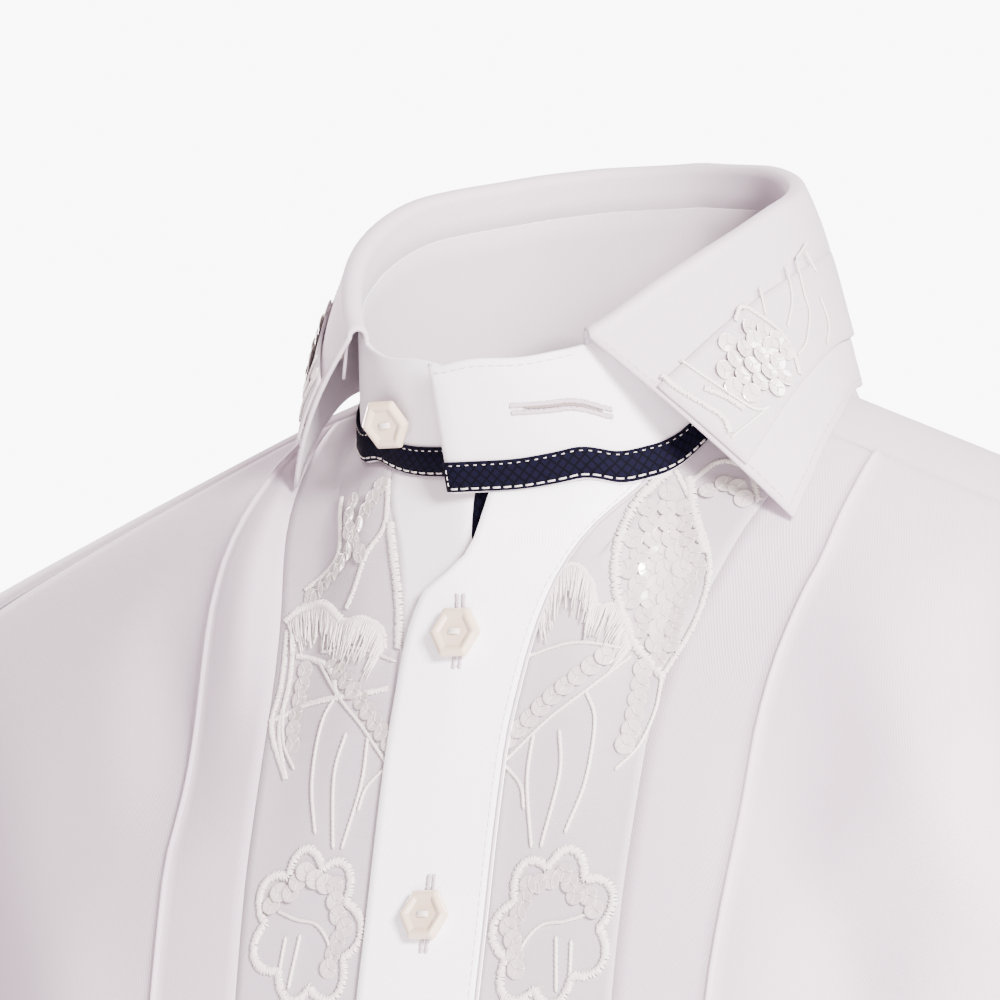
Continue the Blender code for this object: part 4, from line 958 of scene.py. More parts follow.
def cuff_grid(side):
    turn = np.linspace(0, 360 + CUFF_LAP, CUFF_COLUMNS)
    lift = (CUFF_WALL + 2 * LAYER_GAP) * smooth_step(turn, *CUFF_LAP_RISE)
    angle = np.radians(CUFF_LAP_FROM + turn)
    heights = np.linspace(SLEEVE_END_Z - SEAM_GAP, CUFF_END_Z, CUFF_ROWS)
    return for_side(cuff_point(angle[None, :], heights[:, None], lift[None, :]), side)


def cuff_button_place():
    """Centre and outward direction of the left cuff's button."""
    middle = (SLEEVE_END_Z + CUFF_END_Z) / 2
    angle = math.radians(CUFF_LAP_FROM + CUFF_LAP * CUFF_BUTTON_SHARE)
    over = 2 * CUFF_WALL + 2 * LAYER_GAP + BUTTON_LIFT
    centre = cuff_point(angle, middle, over)
    return centre, unit(centre - cuff_point(angle, middle, 0.0))


def button_profile(scale):
    """Half section of a button, down its outer side: dished face, rim, chamfers, flat back."""
    r = BUTTON_RADIUS * scale
    h = BUTTON_THICKNESS * scale
    return [(across * r, up * h) for across, up in BUTTON_SECTION]


def lap_share(angle):
    """1 on the lapped left end of the collar, 0 past the side of the neck."""
    return 1 - smooth_step(angle, math.radians(LAP_FULL_ANGLE), math.radians(LAP_CLEAR_ANGLE))


def stand_foot(angle):
    """Middle of the stand's lower edge, just clear of the neckline's edge."""
    x, turn, inside = neckline(angle)
    normal = shoulder_normal(x, turn)
    outward = np.stack([np.sin(angle), -np.cos(angle), 0 * angle], axis=-1)
    outward = unit(outward * np.array([1.0, NECK_OVALNESS, 1.0]))
    level = np.sum(normal * outward, axis=-1, keepdims=True)
    steep = np.abs(normal[..., 2:])
    along = -steep * outward + level * np.array([0.0, 0.0, 1.0])
    away = STAND_FOOT_GAP + STAND_WALL / 2 * steep
    lift = WALL / 2 + LAP_LIFT * lap_share(angle)[..., None]
    return inside + normal * lift + along * away


def fold_top(angle):
    x = FOLD_HALF_WIDTH * np.sin(angle)
    y = FOLD_CENTRE_Y - FOLD_HALF_DEPTH * np.cos(angle)
    z = fold_height_at(table_angle(angle)) + COLLAR_TILT * x
    outward = np.stack([np.sin(angle), -np.cos(angle), 0 * angle], axis=-1)
    return np.stack([x, y, z], axis=-1) + outward * LAP_LIFT * lap_share(angle)[..., None]


def collar_height(angle):
    return np.linalg.norm(fold_top(angle) - stand_foot(angle), axis=-1)


def stand_point(angle, height, lift=0.0):
    """Middle of the stand's wall at a height above its lower edge, moved out by the lift."""
    foot = stand_foot(angle)
    upward = unit(fold_top(angle) - foot)
    ahead = stand_foot(angle + NUDGE) - stand_foot(angle - NUDGE)
    normal = unit(np.cross(ahead, upward))
    return foot + upward * np.asarray(height)[..., None] + normal * np.asarray(lift)[..., None]


def stand_height(angle):
    return collar_height(angle) - roll_at(table_angle(angle))


def angles_round(start, side, end, steps):
    """Angles round the neck in three stretches: to the left side, round the back, and on to the end."""
    front = np.linspace(start, side, steps[0])
    back = np.linspace(side, 360 - side, steps[1])[1:]
    closing = np.linspace(360 - side, end, steps[2])[1:]
    return np.radians(np.concatenate([front, back, closing]))


def stand_angles():
    return angles_round(LEFT_END_ANGLE, STAND_SIDE_ANGLE, RIGHT_END_ANGLE, STAND_STEPS)


def stand_grid():
    angles = stand_angles()
    heights = stand_height(angles)
    return settled([stand_point(angles, heights * share) for share in STAND_SHARES])


def ribbon_grid():
    angles = stand_angles()
    lift = np.full(angles.shape, STAND_WALL / 2 + RIBBON_GAP)
    rows = []
    for share in RIBBON_SHARES:
        height = np.full(angles.shape, RIBBON_FROM_EDGE + RIBBON_WIDTH * share)
        rows.append(stand_point(angles, height, lift))
    return settled(rows)


def fall_edge(angle):
    """Lower edge of the fall under a fold angle."""
    degrees = table_angle(angle)
    side = np.where(np.sin(angle) < 0, -1.0, 1.0)
    shift = POINT_SHIFT * (1 - smooth_step(degrees, FALL_START, POINT_SHIFT_END))
    x = edge_x_at(degrees) * side + shift
    y = edge_y_at(degrees)
    z = height_over(x, y) + WALL + edge_clear_at(degrees)
    return np.stack([x, y, z], axis=-1)


def fall_frame(angle):
    """Fold centre, upward and outward directions of the fall at an angle."""
    foot = stand_foot(angle)
    top = fold_top(angle)
    upward = unit(top - foot)
    ahead = unit(fold_top(angle + NUDGE) - fold_top(angle - NUDGE))
    outward = unit(np.cross(ahead, upward))
    centre = top - upward * FOLD_RADIUS + outward * FOLD_RADIUS
    return centre, upward, outward


def leaf_point(angle, share, lift=0.0):
    """Middle of the fall's outer leaf, from its fold at 0 to its edge at 1."""
    centre, _, outward = fall_frame(angle)
    start = centre + outward * FOLD_RADIUS
    end = fall_edge(angle)
    share = np.asarray(share, float)[..., None]
    bulge = 4 * share * (1 - share) * FALL_BULGE
    ahead = fall_edge(angle + NUDGE) - fall_edge(angle - NUDGE)
    normal = unit(np.cross(ahead, start - end))
    blend = unit(outward * (1 - share) + normal * (0.3 + share))
    return start + (end - start) * share + blend * (bulge + np.asarray(lift)[..., None])


def fall_grid():
    """Inner roll above the stand, the fold, and the leaf that turns down outside."""
    angles = angles_round(FALL_START, FALL_SIDE_ANGLE, 360 - FALL_START, FALL_STEPS)
    lower = stand_height(angles) + SEAM_GAP
    upper = collar_height(angles) - FOLD_RADIUS
    centre, upward, outward = fall_frame(angles)
    rows = []
    for share in (0.0, 0.5):
        rows.append(stand_point(angles, lower + (upper - lower) * share))
    for degrees in FOLD_SWING:
        swing = math.radians(degrees)
        rows.append(centre - outward * FOLD_RADIUS * math.cos(swing) + upward * FOLD_RADIUS * math.sin(swing))
    rows += [leaf_point(angles, np.full(angles.shape, share)) for share in LEAF_SHARES]
    return settled(rows)


def patch_grid(side):
    """Embroidered net on one end of the leaf, made from the leaf's own points."""
    angles = np.radians(np.linspace(PATCH_START, PATCH_END, PATCH_COLUMNS))
    angles = angles if side == "left" else 2 * math.pi - angles[::-1]
    lift = np.full(angles.shape, FALL_WALL / 2 + LAYER_GAP)
    shares = np.linspace(PATCH_TOP, PATCH_BOTTOM, PATCH_ROWS)
    return settled([leaf_point(angles, np.full(angles.shape, share), lift) for share in shares])


def tab_grid(side):
    """A short tab inside one end of the fold, with the seat and outward direction of its button."""
    swing = math.radians(1.0)
    around = math.radians(TAB_ANGLE if side == "left" else 360 - TAB_ANGLE) + np.array([-swing, 0.0, swing])
    centres, upwards, outwards = fall_frame(around)
    centre = centres[1]
    upward = upwards[1]
    outward = outwards[1]
    forward = unit(np.cross(outward, upward))
    along_fold = unit(centres[2] - centres[0])
    slant = np.dot(along_fold, upward) / np.dot(along_fold, forward)
    start = centre - upward * TAB_DROP
    down = unit(TAB_LEAN * outward - upward)
    rows = []
    for share in TAB_SHARES:
        half = TAB_HALF_WIDTH * (TAB_END_SHARE if share == 1.0 else 1.0)
        step = (forward + upward * slant * max(0.0, 1 - share / TAB_SHARES[1])) * half
        middle = start + down * TAB_LENGTH * share
        rows.append([middle + step, middle, middle - step])
    face = unit(outward + upward * TAB_LEAN)
    seat = start + down * TAB_LENGTH * TAB_BUTTON_SHARE + face * (TRIM_WALL / 2 + LAYER_GAP)
    return settled(rows), settled(seat), face


# Camera: where it stands round the shirt, how far, and how the picture is framed
CAMERA_AZIMUTH = 30.0
CAMERA_ELEVATION = -5.0
CAMERA_DISTANCE = 2.0
CAMERA_LENS = 237.6
CAMERA_SHIFT = (-0.108, -0.1185)

# Studio: brightness of what is seen behind the shirt and of what lights it, and the lamps
BACKDROP_STRENGTH = 9.5
STUDIO_STRENGTH = 0.5
STUDIO_COLOUR = (1.0, 0.70, 0.86, 1.0)
LAMPS = (
    ("key", (2.3, -1.7, 0.75), 0.7, 510.0, (1.0, 0.965, 0.985)),
    ("side", (1.6, 0.45, 1.4), 0.9, 120.0, (1.0, 0.95, 0.98)),
    ("fill", (-2.0, 0.93, 0.5), 1.2, 170.0, (1.0, 0.84, 0.91)),
    ("front", (1.0, -1.75, -0.45), 0.8, 48.0, (1.0, 0.90, 0.95)),
)

# Embroidery of an insert, in millimetres out from the centre front and up from the shoulder ridge
LEAF_BORDER = ((54, -34), (49, -43), (46, -56), (47, -70), (53, -84), (63, -94))
LEAF_FAR_BORDER = ((56, -34), (66, -48), (72, -62), (70, -78), (63, -94))
LEFT_TOP = {
    "thick": (LEAF_BORDER, ((60, -36), (65, -47), (70, -58))),
    "thin": (LEAF_FAR_BORDER, ((61, -37), (67, -31), (76, -34), (82, -43))),
    "sequins": (((67, -40), (73, -38), (79, -44)),),
    "fan": ((25, -75), (28, -67), (35, -61), (40, -66), (42, -73), (47, -73), (51, -79), (52, -86)),
    "fan_focus": (36, -112),
}
RIGHT_TOP = {
    "thick": (((28, -47), (24, -65), (22, -84)), ((69, -78), (64, -74), (54, -72), (45, -76))),
    "thin": (
        ((54, -40), (49, -56), (63, -68)),
        ((32, -34), (30, -47), (36, -56), (40, -66), (43, -72)),
        ((68, -81), (66, -97), (66, -110), (57, -124)),
        ((65, -82), (63, -97), (63, -110), (57, -124)),
        ((62, -88), (48, -90), (42, -98)),
        ((67, -108), (51, -101), (24, -96)),
    ),
    "sequins": (((34, -36), (39, -46), (44, -56), (51, -63), (61, -71)), ((45, -41), (45, -48), (38, -56))),
    "fan": ((68, -78), (62, -74), (52, -72), (44, -76), (36, -75), (29, -78), (27, -84)),
    "fan_focus": (46, -118),
}
SPRAY = (
    ((22, -88), (37, -84), (52, -86)),
    ((20, -118), (31, -107), (42, -98), (53, -88)),
    ((42, -98), (46, -107), (46, -124), (42, -139)),
    ((36, -109), (38, -122), (35, -143)),
    ((28, -110), (28, -124), (32, -143)),
    ((20, -119), (26, -125), (28, -132)),
    ((63, -94), (63, -104), (60, -114), (54, -121)),
    ((30, -178), (33, -170), (38, -165), (45, -164), (52, -162)),
    ((43, -168), (45, -184)),
    ((48, -169), (49, -182)),
)
SPRAY_SEQUINS = (
    ((20, -112), (26, -106), (32, -100), (39, -94), (47, -87)),
    ((57, -92), (57, -101), (57, -109), (55, -117)),
)
MOTIF_REPEAT = -164.5
MOTIF_COUNT = 4
LOWER_LEAF_SHIFT = -13.0

# The lower motifs leave out lines that start further out than these, and the last one those that start lower
SPRAY_INSIDE = 60
SEQUINS_INSIDE = 50
LAST_SPRAY_START = -140

# Embroidery of a collar patch, in millimetres back from the leaf's front edge and down from its fold
PATCH_CORDS = (
    ((33, 18), (39, 16), (41, 21), (42, 28), (40, 35), (35, 41)),
    ((51, 14), (43, 22)),
    ((68, 13), (58, 23), (46, 29)),
    ((75, 13), (66, 23), (60, 30), (48, 36), (40, 37)),
    ((88, 10), (85, 11), (75, 13)),
    ((83, 12), (81, 20)),
    ((73, 27), (67, 36), (57, 41)),
    ((11, 16), (12, 26), (14, 37), (18, 40)),
    ((18, 40), (8, 38), (3, 37)),
)
PATCH_SATIN = (((4, 16), (4, 21), (6, 32), (4, 36)), ((9, 25), (11, 30), (12, 35)))
PATCH_SEQUIN_ARC = ((34, 22), (37, 26), (38, 32), (35, 37))
PATCH_BLOB = (26.0, 30.0, 11.5, 9.0)
PATCH_BORDER_SATIN = 1.4
PATCH_CORD_RADIUS = 0.45
LEAF_MM_PER_DEGREE = 1.5
LEAF_DEPTH = 58.0

# Threads and sequins
CORD_RADIUS = 0.55
CORD_STEP = 0.4
CORD_TWIST = 1.5
CORD_SIDES = 6
CORD_SWELL = 0.24
CORD_TIP = 0.35
CORD_TAPER = 1.2
CORD_LIFT = 0.7
STITCH_RADIUS = 0.34
STITCH_STEP = 0.5
SATIN_SHARES = (-1.0, -0.55, 0.0, 0.55, 1.0)
SATIN_REACH = (0.85, 1.2)
SATIN_LEAN = 0.35
SATIN_FOOT = 0.15
SATIN_FULLNESS = 0.28
THICK_SATIN = 3.0
THIN_SATIN = 1.7
FLOWER_SATIN = 2.6
UNEVEN_LOBES = 0.05
FLOWER_STATIONS = 200
FLOWER_ROW_INSET = 5.2
FLOWER_ROW = slice(10, 140, 10)
FAN_LENGTH = (7.0, 14.0)
FAN_STEP = 0.5
FAN_SHARES = (0.0, 0.3, 0.7, 1.0)
FAN_LAYERS = 2
FAN_THREAD = 0.26
UNEVEN_THREADS = 0.05

# Sequins: rings as shares of the radius and heights, and the three stitches that hold each one
SEQUIN_RADIUS = 3.0
SEQUIN_SPACING = 4.4
SEQUIN_ASIDE = 4.9
SEQUIN_STAGGER = 2.4
SEQUIN_SIDES = 16
SEQUIN_TILT = 0.13
SEQUIN_RINGS = ((0.96, 0.0), (1.0, 0.16), (0.9, 0.24), (0.3, 0.1))
SEQUIN_STITCHES = 3
BAR_RADIUS = 0.13
BAR_SHARES = (0.0, 0.5, 1.02)
BAR_HEIGHTS = (0.22, 0.42, 0.2)
BAR_TURN = 0.3

# Sequins in the top leaf: from which height to which, how far inside its borders, and where a row gets narrow
LEAF_FILL = (-89.0, -36.0)
LEAF_NEAR_MARGIN = 3.4
LEAF_FAR_MARGIN = 2.2
NARROW_ROW = 5

# Running stitches: length, gap, radius
SEAM_STITCH = (2.0, 0.9, 0.12)
RIBBON_LOW_STITCH = (2.3, 1.1, 0.26)
RIBBON_HIGH_STITCH = (1.0, 1.7, 0.13)
RIBBON_END_STITCH = (1.0, 0.9, 0.18)
RIBBON_LOW_INSET = 0.8
RIBBON_HIGH_INSET = 0.7
RIBBON_CORNER_INSET = 0.6
RIBBON_END_INSET = 0.9
RIBBON_END_STATIONS = 12
STITCH_STATIONS = 900
EDGE_STATIONS = 60
EDGE_INSET = 1.6
LEAF_CORNER_INSET = 1.2
LEAF_END_INSET = 1.5
LEAF_TIP_INSET = 1.8
PIPING_RADIUS = 0.55
PIPING_STEP = 0.8
PIPING_LIFT = 0.1
STAND_STITCH_START = LEFT_END_ANGLE + 0.8
STAND_STITCH_END = 36.0
DASH_STEP = 0.25
DASH_RISE = (0.2, 0.9, 0.9, 0.2)

# The neck button leans on its threads towards the left front
NECK_BUTTON_LEAN = (0.32, -0.05, 0.0)
NECK_BUTTON_SHANK = 1.3

# Open buttonhole on the stand: degrees round the neck, height up the stand
HOLE_FROM = 17.5
HOLE_TO = 42.0
HOLE_HEIGHT = 24.0
HOLE_RISE = -3.5
SLIT_START_INSET = 3
SLIT_END_INSET = 2
HOLE_HALF_GAP = 1.1
HOLE_SATIN = 1.3
SLIT_RADIUS = 0.5
FRONT_HOLE_HALF_LENGTH = 11
FRONT_HOLE_HALF_GAP = 0.9
FRONT_HOLE_SATIN = 1.1

# Threads over the middle of a button, in shares of its scale
BAR_ACROSS = (-1.0, -0.6, 0.0, 0.6, 1.0)
BAR_RISE = (-0.3, 0.35, 0.6, 0.35, -0.3)
BAR_OFFSETS = (-0.55, 0.0, 0.55)
BAR_HALF_LENGTH = 2.0
BAR_THREAD = 0.34
BUTTON_BEVEL = 0.4

RIM_ROUNDING = 0.35
RIBBON_CELLS = 420.0
SEAM_ALLOWANCE = 16.0

# Soft creases: two ends as shares down and across the panel, breadth, and height above the cloth
FRONT_CREASES = {
    "left": (
        ((0.05, 0.62), (0.30, 0.97), 14.0, -8.8),
        ((0.02, 0.84), (0.20, 0.99), 10.0, 7.1),
        ((0.13, 0.36), (0.36, 0.90), 18.0, 7.6),
        ((0.26, 0.22), (0.47, 0.66), 15.0, -5.5),
        ((0.52, 0.80), (0.86, 0.30), 19.0, 6.3),
        ((0.60, 0.95), (0.95, 0.62), 14.0, -5.0),
    ),
    "right": (
        ((0.04, 0.70), (0.27, 0.96), 14.0, 6.7),
        ((0.12, 0.42), (0.34, 0.88), 17.0, -5.9),
        ((0.30, 0.30), (0.58, 0.78), 19.0, 5.5),
        ((0.55, 0.92), (0.90, 0.38), 18.0, -5.0),
    ),
}
BACK_CREASES = (
    ((0.06, 0.14), (0.40, 0.30), 16.0, 6.7),
    ((0.10, 0.86), (0.36, 0.68), 18.0, -6.3),
    ((0.30, 0.40), (0.72, 0.52), 21.0, 5.5),
    ((0.58, 0.84), (0.92, 0.60), 18.0, 6.3),
    ((0.55, 0.12), (0.90, 0.34), 16.0, -5.5),
)
SLEEVE_CREASES = (
    ((0.12, 0.10), (0.34, 0.32), 13.0, 6.7),
    ((0.20, 0.55), (0.42, 0.36), 12.0, -6.3),
    ((0.42, 0.70), (0.60, 0.88), 14.0, 6.3),
    ((0.55, 0.18), (0.74, 0.40), 12.0, -5.5),
    ((0.74, 0.60), (0.90, 0.74), 10.0, 5.0),
)
CREASE_MARGIN = 0.07

# Finishes: the twills by key and colour, the others by key, name, colour, roughness, sheen and coat.
# The twills are all one white cloth: the placket's is its near-white, and the others are darker, lilac copies
# that are painted shade
TWILLS = (
    ("placket_twill", (0.94, 0.91, 0.925)),
    # The stand's twill, also on the right placket: the white cloth darker and lilac, as painted shade
    ("stand_twill_painted_shade", (0.72, 0.66, 0.69)),
    # The body's twill: the white cloth darkened and tinted lilac, as painted shade
    ("white_twill", (0.455, 0.38, 0.415)),
    # The collar leaf's twill: the white cloth darkened and tinted lilac, as painted shade
    ("leaf_twill_painted_shade", (0.45, 0.385, 0.415)),
    # The collar patches' net: darker and lilac, painted shade as on the leaf
    ("patch_net_painted_shade", (0.42, 0.36, 0.385)),
    # The stand's inner faces: the white cloth darker still, painted shade in the hollow of the collar
    ("inner_twill_painted_shade", (0.42, 0.36, 0.38)),
)
FINISHES = (
    # The inserts' net: opaque, darker and lilac, painted shade for the shadow seen through the sheer net
    ("sheer_net", "net", (0.40, 0.345, 0.37), 0.55, 0.1, 0.0),
    ("navy", "navy", (0.0035, 0.0032, 0.016), 0.8, 0.0, 0.0),
    ("ivory_thread", "thread", (0.58, 0.53, 0.485), 0.4, 0.3, 0.0),
    ("cream_button", "cream", (0.55, 0.42, 0.31), 0.2, 0.0, 0.5),
    ("sequin", "sequin", (0.47, 0.42, 0.39), 0.22, 0.0, 0.6),
    # The buttonhole's slit: a dark cord, painted shade for the gap of the open buttonhole
    ("slit_painted_shade", "slit_painted_shade", (0.20, 0.16, 0.14), 0.8, 0.0, 0.0),
)
TWILL_ROUGHNESS = 0.75
TWILL_SHEEN = 0.15

# Weaves: period in metres, turn in degrees, strength of the bump
TWILL_WEAVE = (0.0008, 32.0, 0.25)
NET_WEAVE = (0.0006, 90.0, 0.3)

# Lattice of the navy ribbon: colour and place of the lines, then of the cells between them
RIBBON_RAMP = (
    ((0.0006, 0.00054, 0.0018, 1.0), 0.06),
    ((0.0024, 0.0020, 0.008, 1.0), 0.16),
)
NAVY_SPECULAR = 0.05

# Floor: half its side in metres, how far it lies below the hem, and its colour
FLOOR_HALF = 2.0
FLOOR_DROP = 12.0
FLOOR_COLOUR = (0.85, 0.85, 0.85)


def new_material(name, colour, roughness, sheen=0.0, coat=0.0):
    material = bpy.data.materials.new(name)
    material.use_nodes = True
    shader = material.node_tree.nodes["Principled BSDF"]
    shader.inputs["Base Color"].default_value = (*colour, 1.0)
    shader.inputs["Roughness"].default_value = roughness
    shader.inputs["Sheen Weight"].default_value = sheen
    shader.inputs["Coat Weight"].default_value = coat
    return material


def node(material, kind, **inputs):
    made = material.node_tree.nodes.new(kind)
    for key, value in inputs.items():
        made.inputs[key.replace("_", " ")].default_value = value
    return made


def link(material, source, output, target, socket):
    material.node_tree.links.new(source.outputs[output], target.inputs[socket])


def weave(material, period, turn, bump):
    """Fine diagonal weave lines on the cloth's own coordinates, as a bump."""
    shader = material.node_tree.nodes["Principled BSDF"]
    place = node(material, "ShaderNodeTexCoord")
    turned = node(material, "ShaderNodeMapping", Rotation=(0.0, 0.0, math.radians(turn)))
    lines = node(material, "ShaderNodeTexWave", Scale=2 * math.pi / (20 * period), Distortion=0.6)
    relief = node(material, "ShaderNodeBump", Strength=bump, Distance=0.0002)
    link(material, place, "UV", turned, "Vector")
    link(material, turned, "Vector", lines, "Vector")
    link(material, lines, "Color", relief, "Height")
    link(material, relief, "Normal", shader, "Normal")


def make_materials():
    """One finish for each kind of cloth, thread and plastic, with darker, lilac copies of the white twill as
    painted shade.
    """
    made = {}
    for key, colour in TWILLS:
        made[key] = new_material(key, colour, TWILL_ROUGHNESS, TWILL_SHEEN)
        weave(made[key], *TWILL_WEAVE)
    for key, name, colour, roughness, sheen, coat in FINISHES:
        made[key] = new_material(name, colour, roughness, sheen, coat)
    weave(made["sheer_net"], *NET_WEAVE)
    made["navy"].node_tree.nodes["Principled BSDF"].inputs["Specular IOR Level"].default_value = NAVY_SPECULAR
    ribbon_pattern(made["navy"])
    return made


def ribbon_pattern(material):
    """Darker lattice lines on the navy ribbon, on its own coordinates."""
    shader = material.node_tree.nodes["Principled BSDF"]
    place = node(material, "ShaderNodeTexCoord")
    cells = node(material, "ShaderNodeTexVoronoi", Scale=RIBBON_CELLS, Randomness=0.0)
    cells.feature = "DISTANCE_TO_EDGE"
    turned = node(material, "ShaderNodeMapping", Rotation=(0.0, 0.0, math.radians(45.0)))
    ramp = node(material, "ShaderNodeValToRGB")
    for element, (colour, position) in zip(ramp.color_ramp.elements, RIBBON_RAMP):
        element.color = colour
        element.position = position
    link(material, place, "UV", turned, "Vector")
    link(material, turned, "Vector", cells, "Vector")
    link(material, cells, "Distance", ramp, "Fac")
    link(material, ramp, "Color", shader, "Base Color")


def full_turn(sides):
    """Angles of the corners of a ring."""
    return np.linspace(0, 2 * math.pi, sides, endpoint=False)


def grid_normals(grid, closed):
    down = np.gradient(grid, axis=0)
    if closed:
        across = np.roll(grid, -1, axis=1) - np.roll(grid, 1, axis=1)
    else:
        across = np.gradient(grid, axis=1)
    return unit(np.cross(down, across))


def perimeter(rows, across):
    """Row and column of each point round the edge of a grid."""
    top = [(0, j) for j in range(across)]
    right = [(i, across - 1) for i in range(1, rows)]
    bottom = [(rows - 1, j) for j in range(across - 2, -1, -1)]
    left = [(i, 0) for i in range(rows - 2, 0, -1)]
    return top + right + bottom + left


def outward_at_edge(grid, i, j, closed):
    """Direction out of the grid at one of its edge points."""
    rows, across = grid.shape[:2]
    away = np.zeros(3)
    if i == 0:
        away += unit(grid[0, j] - grid[1, j])
    if i == rows - 1:
        away += unit(grid[-1, j] - grid[-2, j])
    if not closed and j == 0:
        away += unit(grid[i, 0] - grid[i, 1])
    if not closed and j == across - 1:
        away += unit(grid[i, -1] - grid[i, -2])
    return unit(away)


def mesh_piece(name, points, faces, uvs, material, smooth=True):
    """An object from points in millimetres, faces, and one uv pair for each corner of each face."""
    mesh = bpy.data.meshes.new(name)
    mesh.from_pydata((np.asarray(points) * MM).tolist(), [], faces)
    if uvs is not None:
        layer = mesh.uv_layers.new(name="cloth")
        layer.data.foreach_set("uv", np.asarray(uvs, float).reshape(-1))
    mesh.materials.append(material)
    if smooth:
        mesh.shade_smooth()
    piece = bpy.data.objects.new(name, mesh)
    bpy.context.scene.collection.objects.link(piece)
    return piece


def cloth_places(grid, closed):
    """Place of each grid point on the flat cloth in metres, and how far on a closed cloth starts again."""
    rows, across = grid.shape[:2]
    v = np.cumsum(np.linalg.norm(np.diff(grid, axis=0, prepend=grid[:1]), axis=2), axis=0)
    u = np.cumsum(np.linalg.norm(np.diff(grid, axis=1, prepend=grid[:, :1]), axis=2), axis=1)
    u = np.broadcast_to(u.mean(axis=0), (rows, across)) if closed else u
    flat = np.stack([u, np.broadcast_to(v.mean(axis=1)[:, None], (rows, across))], axis=-1) * MM
    last_step = np.linalg.norm(grid[:, 0] - grid[:, -1], axis=1).mean() * MM
    return flat, np.array([last_step + u[0, -1] * MM, 0])


def wall_faces(flat, past_seam, closed):
    """Outer and inner faces of a cloth wall by turns, with their corners on the flat cloth."""
    rows, across = flat.shape[:2]
    faces = []
    uvs = []
    for i in range(rows - 1):
        for j in range(across if closed else across - 1):
            k = (j + 1) % across
            corners = [(i, j), (i + 1, j), (i + 1, k), (i, k)]
            places = [flat[corner] + (past_seam if k == corner[1] == 0 else 0) for corner in corners]
            index = [a * across + b for a, b in corners]
            faces += [index, [rows * across + q for q in reversed(index)]]
            uvs += places + places[::-1]
    return faces, uvs


def rims_of(rows, across, closed):
    """The loops of edge points that a rim closes: two of a tube, or one round a panel."""
    if closed:
        return [[(0, j) for j in range(across)], [(rows - 1, j) for j in range(across - 1, -1, -1)]]
    return [perimeter(rows, across)]


def rim_faces(rim, flat, start):
    """Faces from the outer edge over the rim's own points, numbered from the start, to the inner edge."""
    rows, across = flat.shape[:2]
    count = rows * across
    faces = []
    uvs = []
    for n, (i, j) in enumerate(rim):
        m = (n + 1) % len(rim)
        a = i * across + j
        b = rim[m][0] * across + rim[m][1]
        faces += [[a, b, start + m, start + n], [start + n, start + m, count + b, count + a]]
        uvs += [flat[i, j], flat[rim[m]], flat[rim[m]], flat[i, j]] * 2
    return faces, uvs


def shell(name, grid, wall, material, closed=False, centred=False, raised=None, inner_face_painted_shade=None):
    """A cloth wall with a rounded rim over a fine grid. It grows outwards, or to both sides when centred."""
    rows, across = grid.shape[:2]
    normal = grid_normals(grid, closed)
    thickness = (np.full((rows, across), wall) if raised is None else raised)[..., None]
    inner = grid - normal * thickness / 2 if centred else grid
    outer = inner + normal * thickness
    flat, past_seam = cloth_places(grid, closed)
    points = [outer.reshape(-1, 3), inner.reshape(-1, 3)]
    faces, uvs = wall_faces(flat, past_seam, closed)
    inner_faces = range(1, len(faces), 2)
    for rim in rims_of(rows, across, closed):
        more_faces, more_uvs = rim_faces(rim, flat, sum(len(some) for some in points))
        faces += more_faces
        uvs += more_uvs
        middle = []
        for i, j in rim:
            away = outward_at_edge(grid, i, j, closed)
            middle.append((outer[i, j] + inner[i, j]) / 2 + away * thickness[i, j] * RIM_ROUNDING)
        points.append(np.array(middle))
    piece = mesh_piece(name, np.concatenate(points), faces, uvs, material)
    # The inner faces can take a second finish; the stand's is painted shade
    if inner_face_painted_shade is not None:
        piece.data.materials.append(inner_face_painted_shade)
        for number in inner_faces:
            piece.data.polygons[number].material_index = 1
    return piece


def dressed(piece, slot, *nodes):
    """Hands a finished piece to the frame in place of its solids."""
    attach(piece, "root")
    if nodes:
        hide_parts(*nodes)
    return piece


def cloth_piece(
    name, grid, wall, slot, materials, nodes,
    closed=False, centred=False, raised=None, finish=None, inner_face_painted_shade=None,
):
    """A cloth shell in place of its solids."""
    piece = shell(name, grid, wall, materials[finish or slot], closed, centred, raised, inner_face_painted_shade)
    dressed(piece, slot, *nodes)
    return piece


def button(name, centre, outward, scale, materials, nodes):
    """A six-sided button with a raised, bevelled rim."""
    outline = button_profile(scale)
    turn = full_turn(BUTTON_SIDES)
    z_axis = np.asarray(outward, float)
    x_axis = unit(np.cross([0.0, 0.0, 1.0], z_axis))
    y_axis = np.cross(z_axis, x_axis)
    points = [centre + z_axis * outline[0][1]]
    for radius, height in outline[1:-1]:
        for angle in turn:
            aside = x_axis * math.cos(angle) + y_axis * math.sin(angle)
            points.append(centre + radius * aside + z_axis * height)
    points.append(centre + z_axis * outline[-1][1])
    faces = []
    for j in range(BUTTON_SIDES):
        k = (j + 1) % BUTTON_SIDES
        faces.append([0, 1 + j, 1 + k])
        for ring in range(len(outline) - 3):
            a = 1 + ring * BUTTON_SIDES
            b = a + BUTTON_SIDES
            faces.append([a + j, b + j, b + k, a + k])
        faces.append([len(points) - 1, b + k, b + j])
    piece = mesh_piece(name, points, faces, None, materials["cream_button"], smooth=False)
    bevel = piece.modifiers.new("edges", "BEVEL")
    bevel.width = BUTTON_BEVEL * MM * scale
    bevel.segments = 2
    return dressed(piece, "cream_button", *nodes)


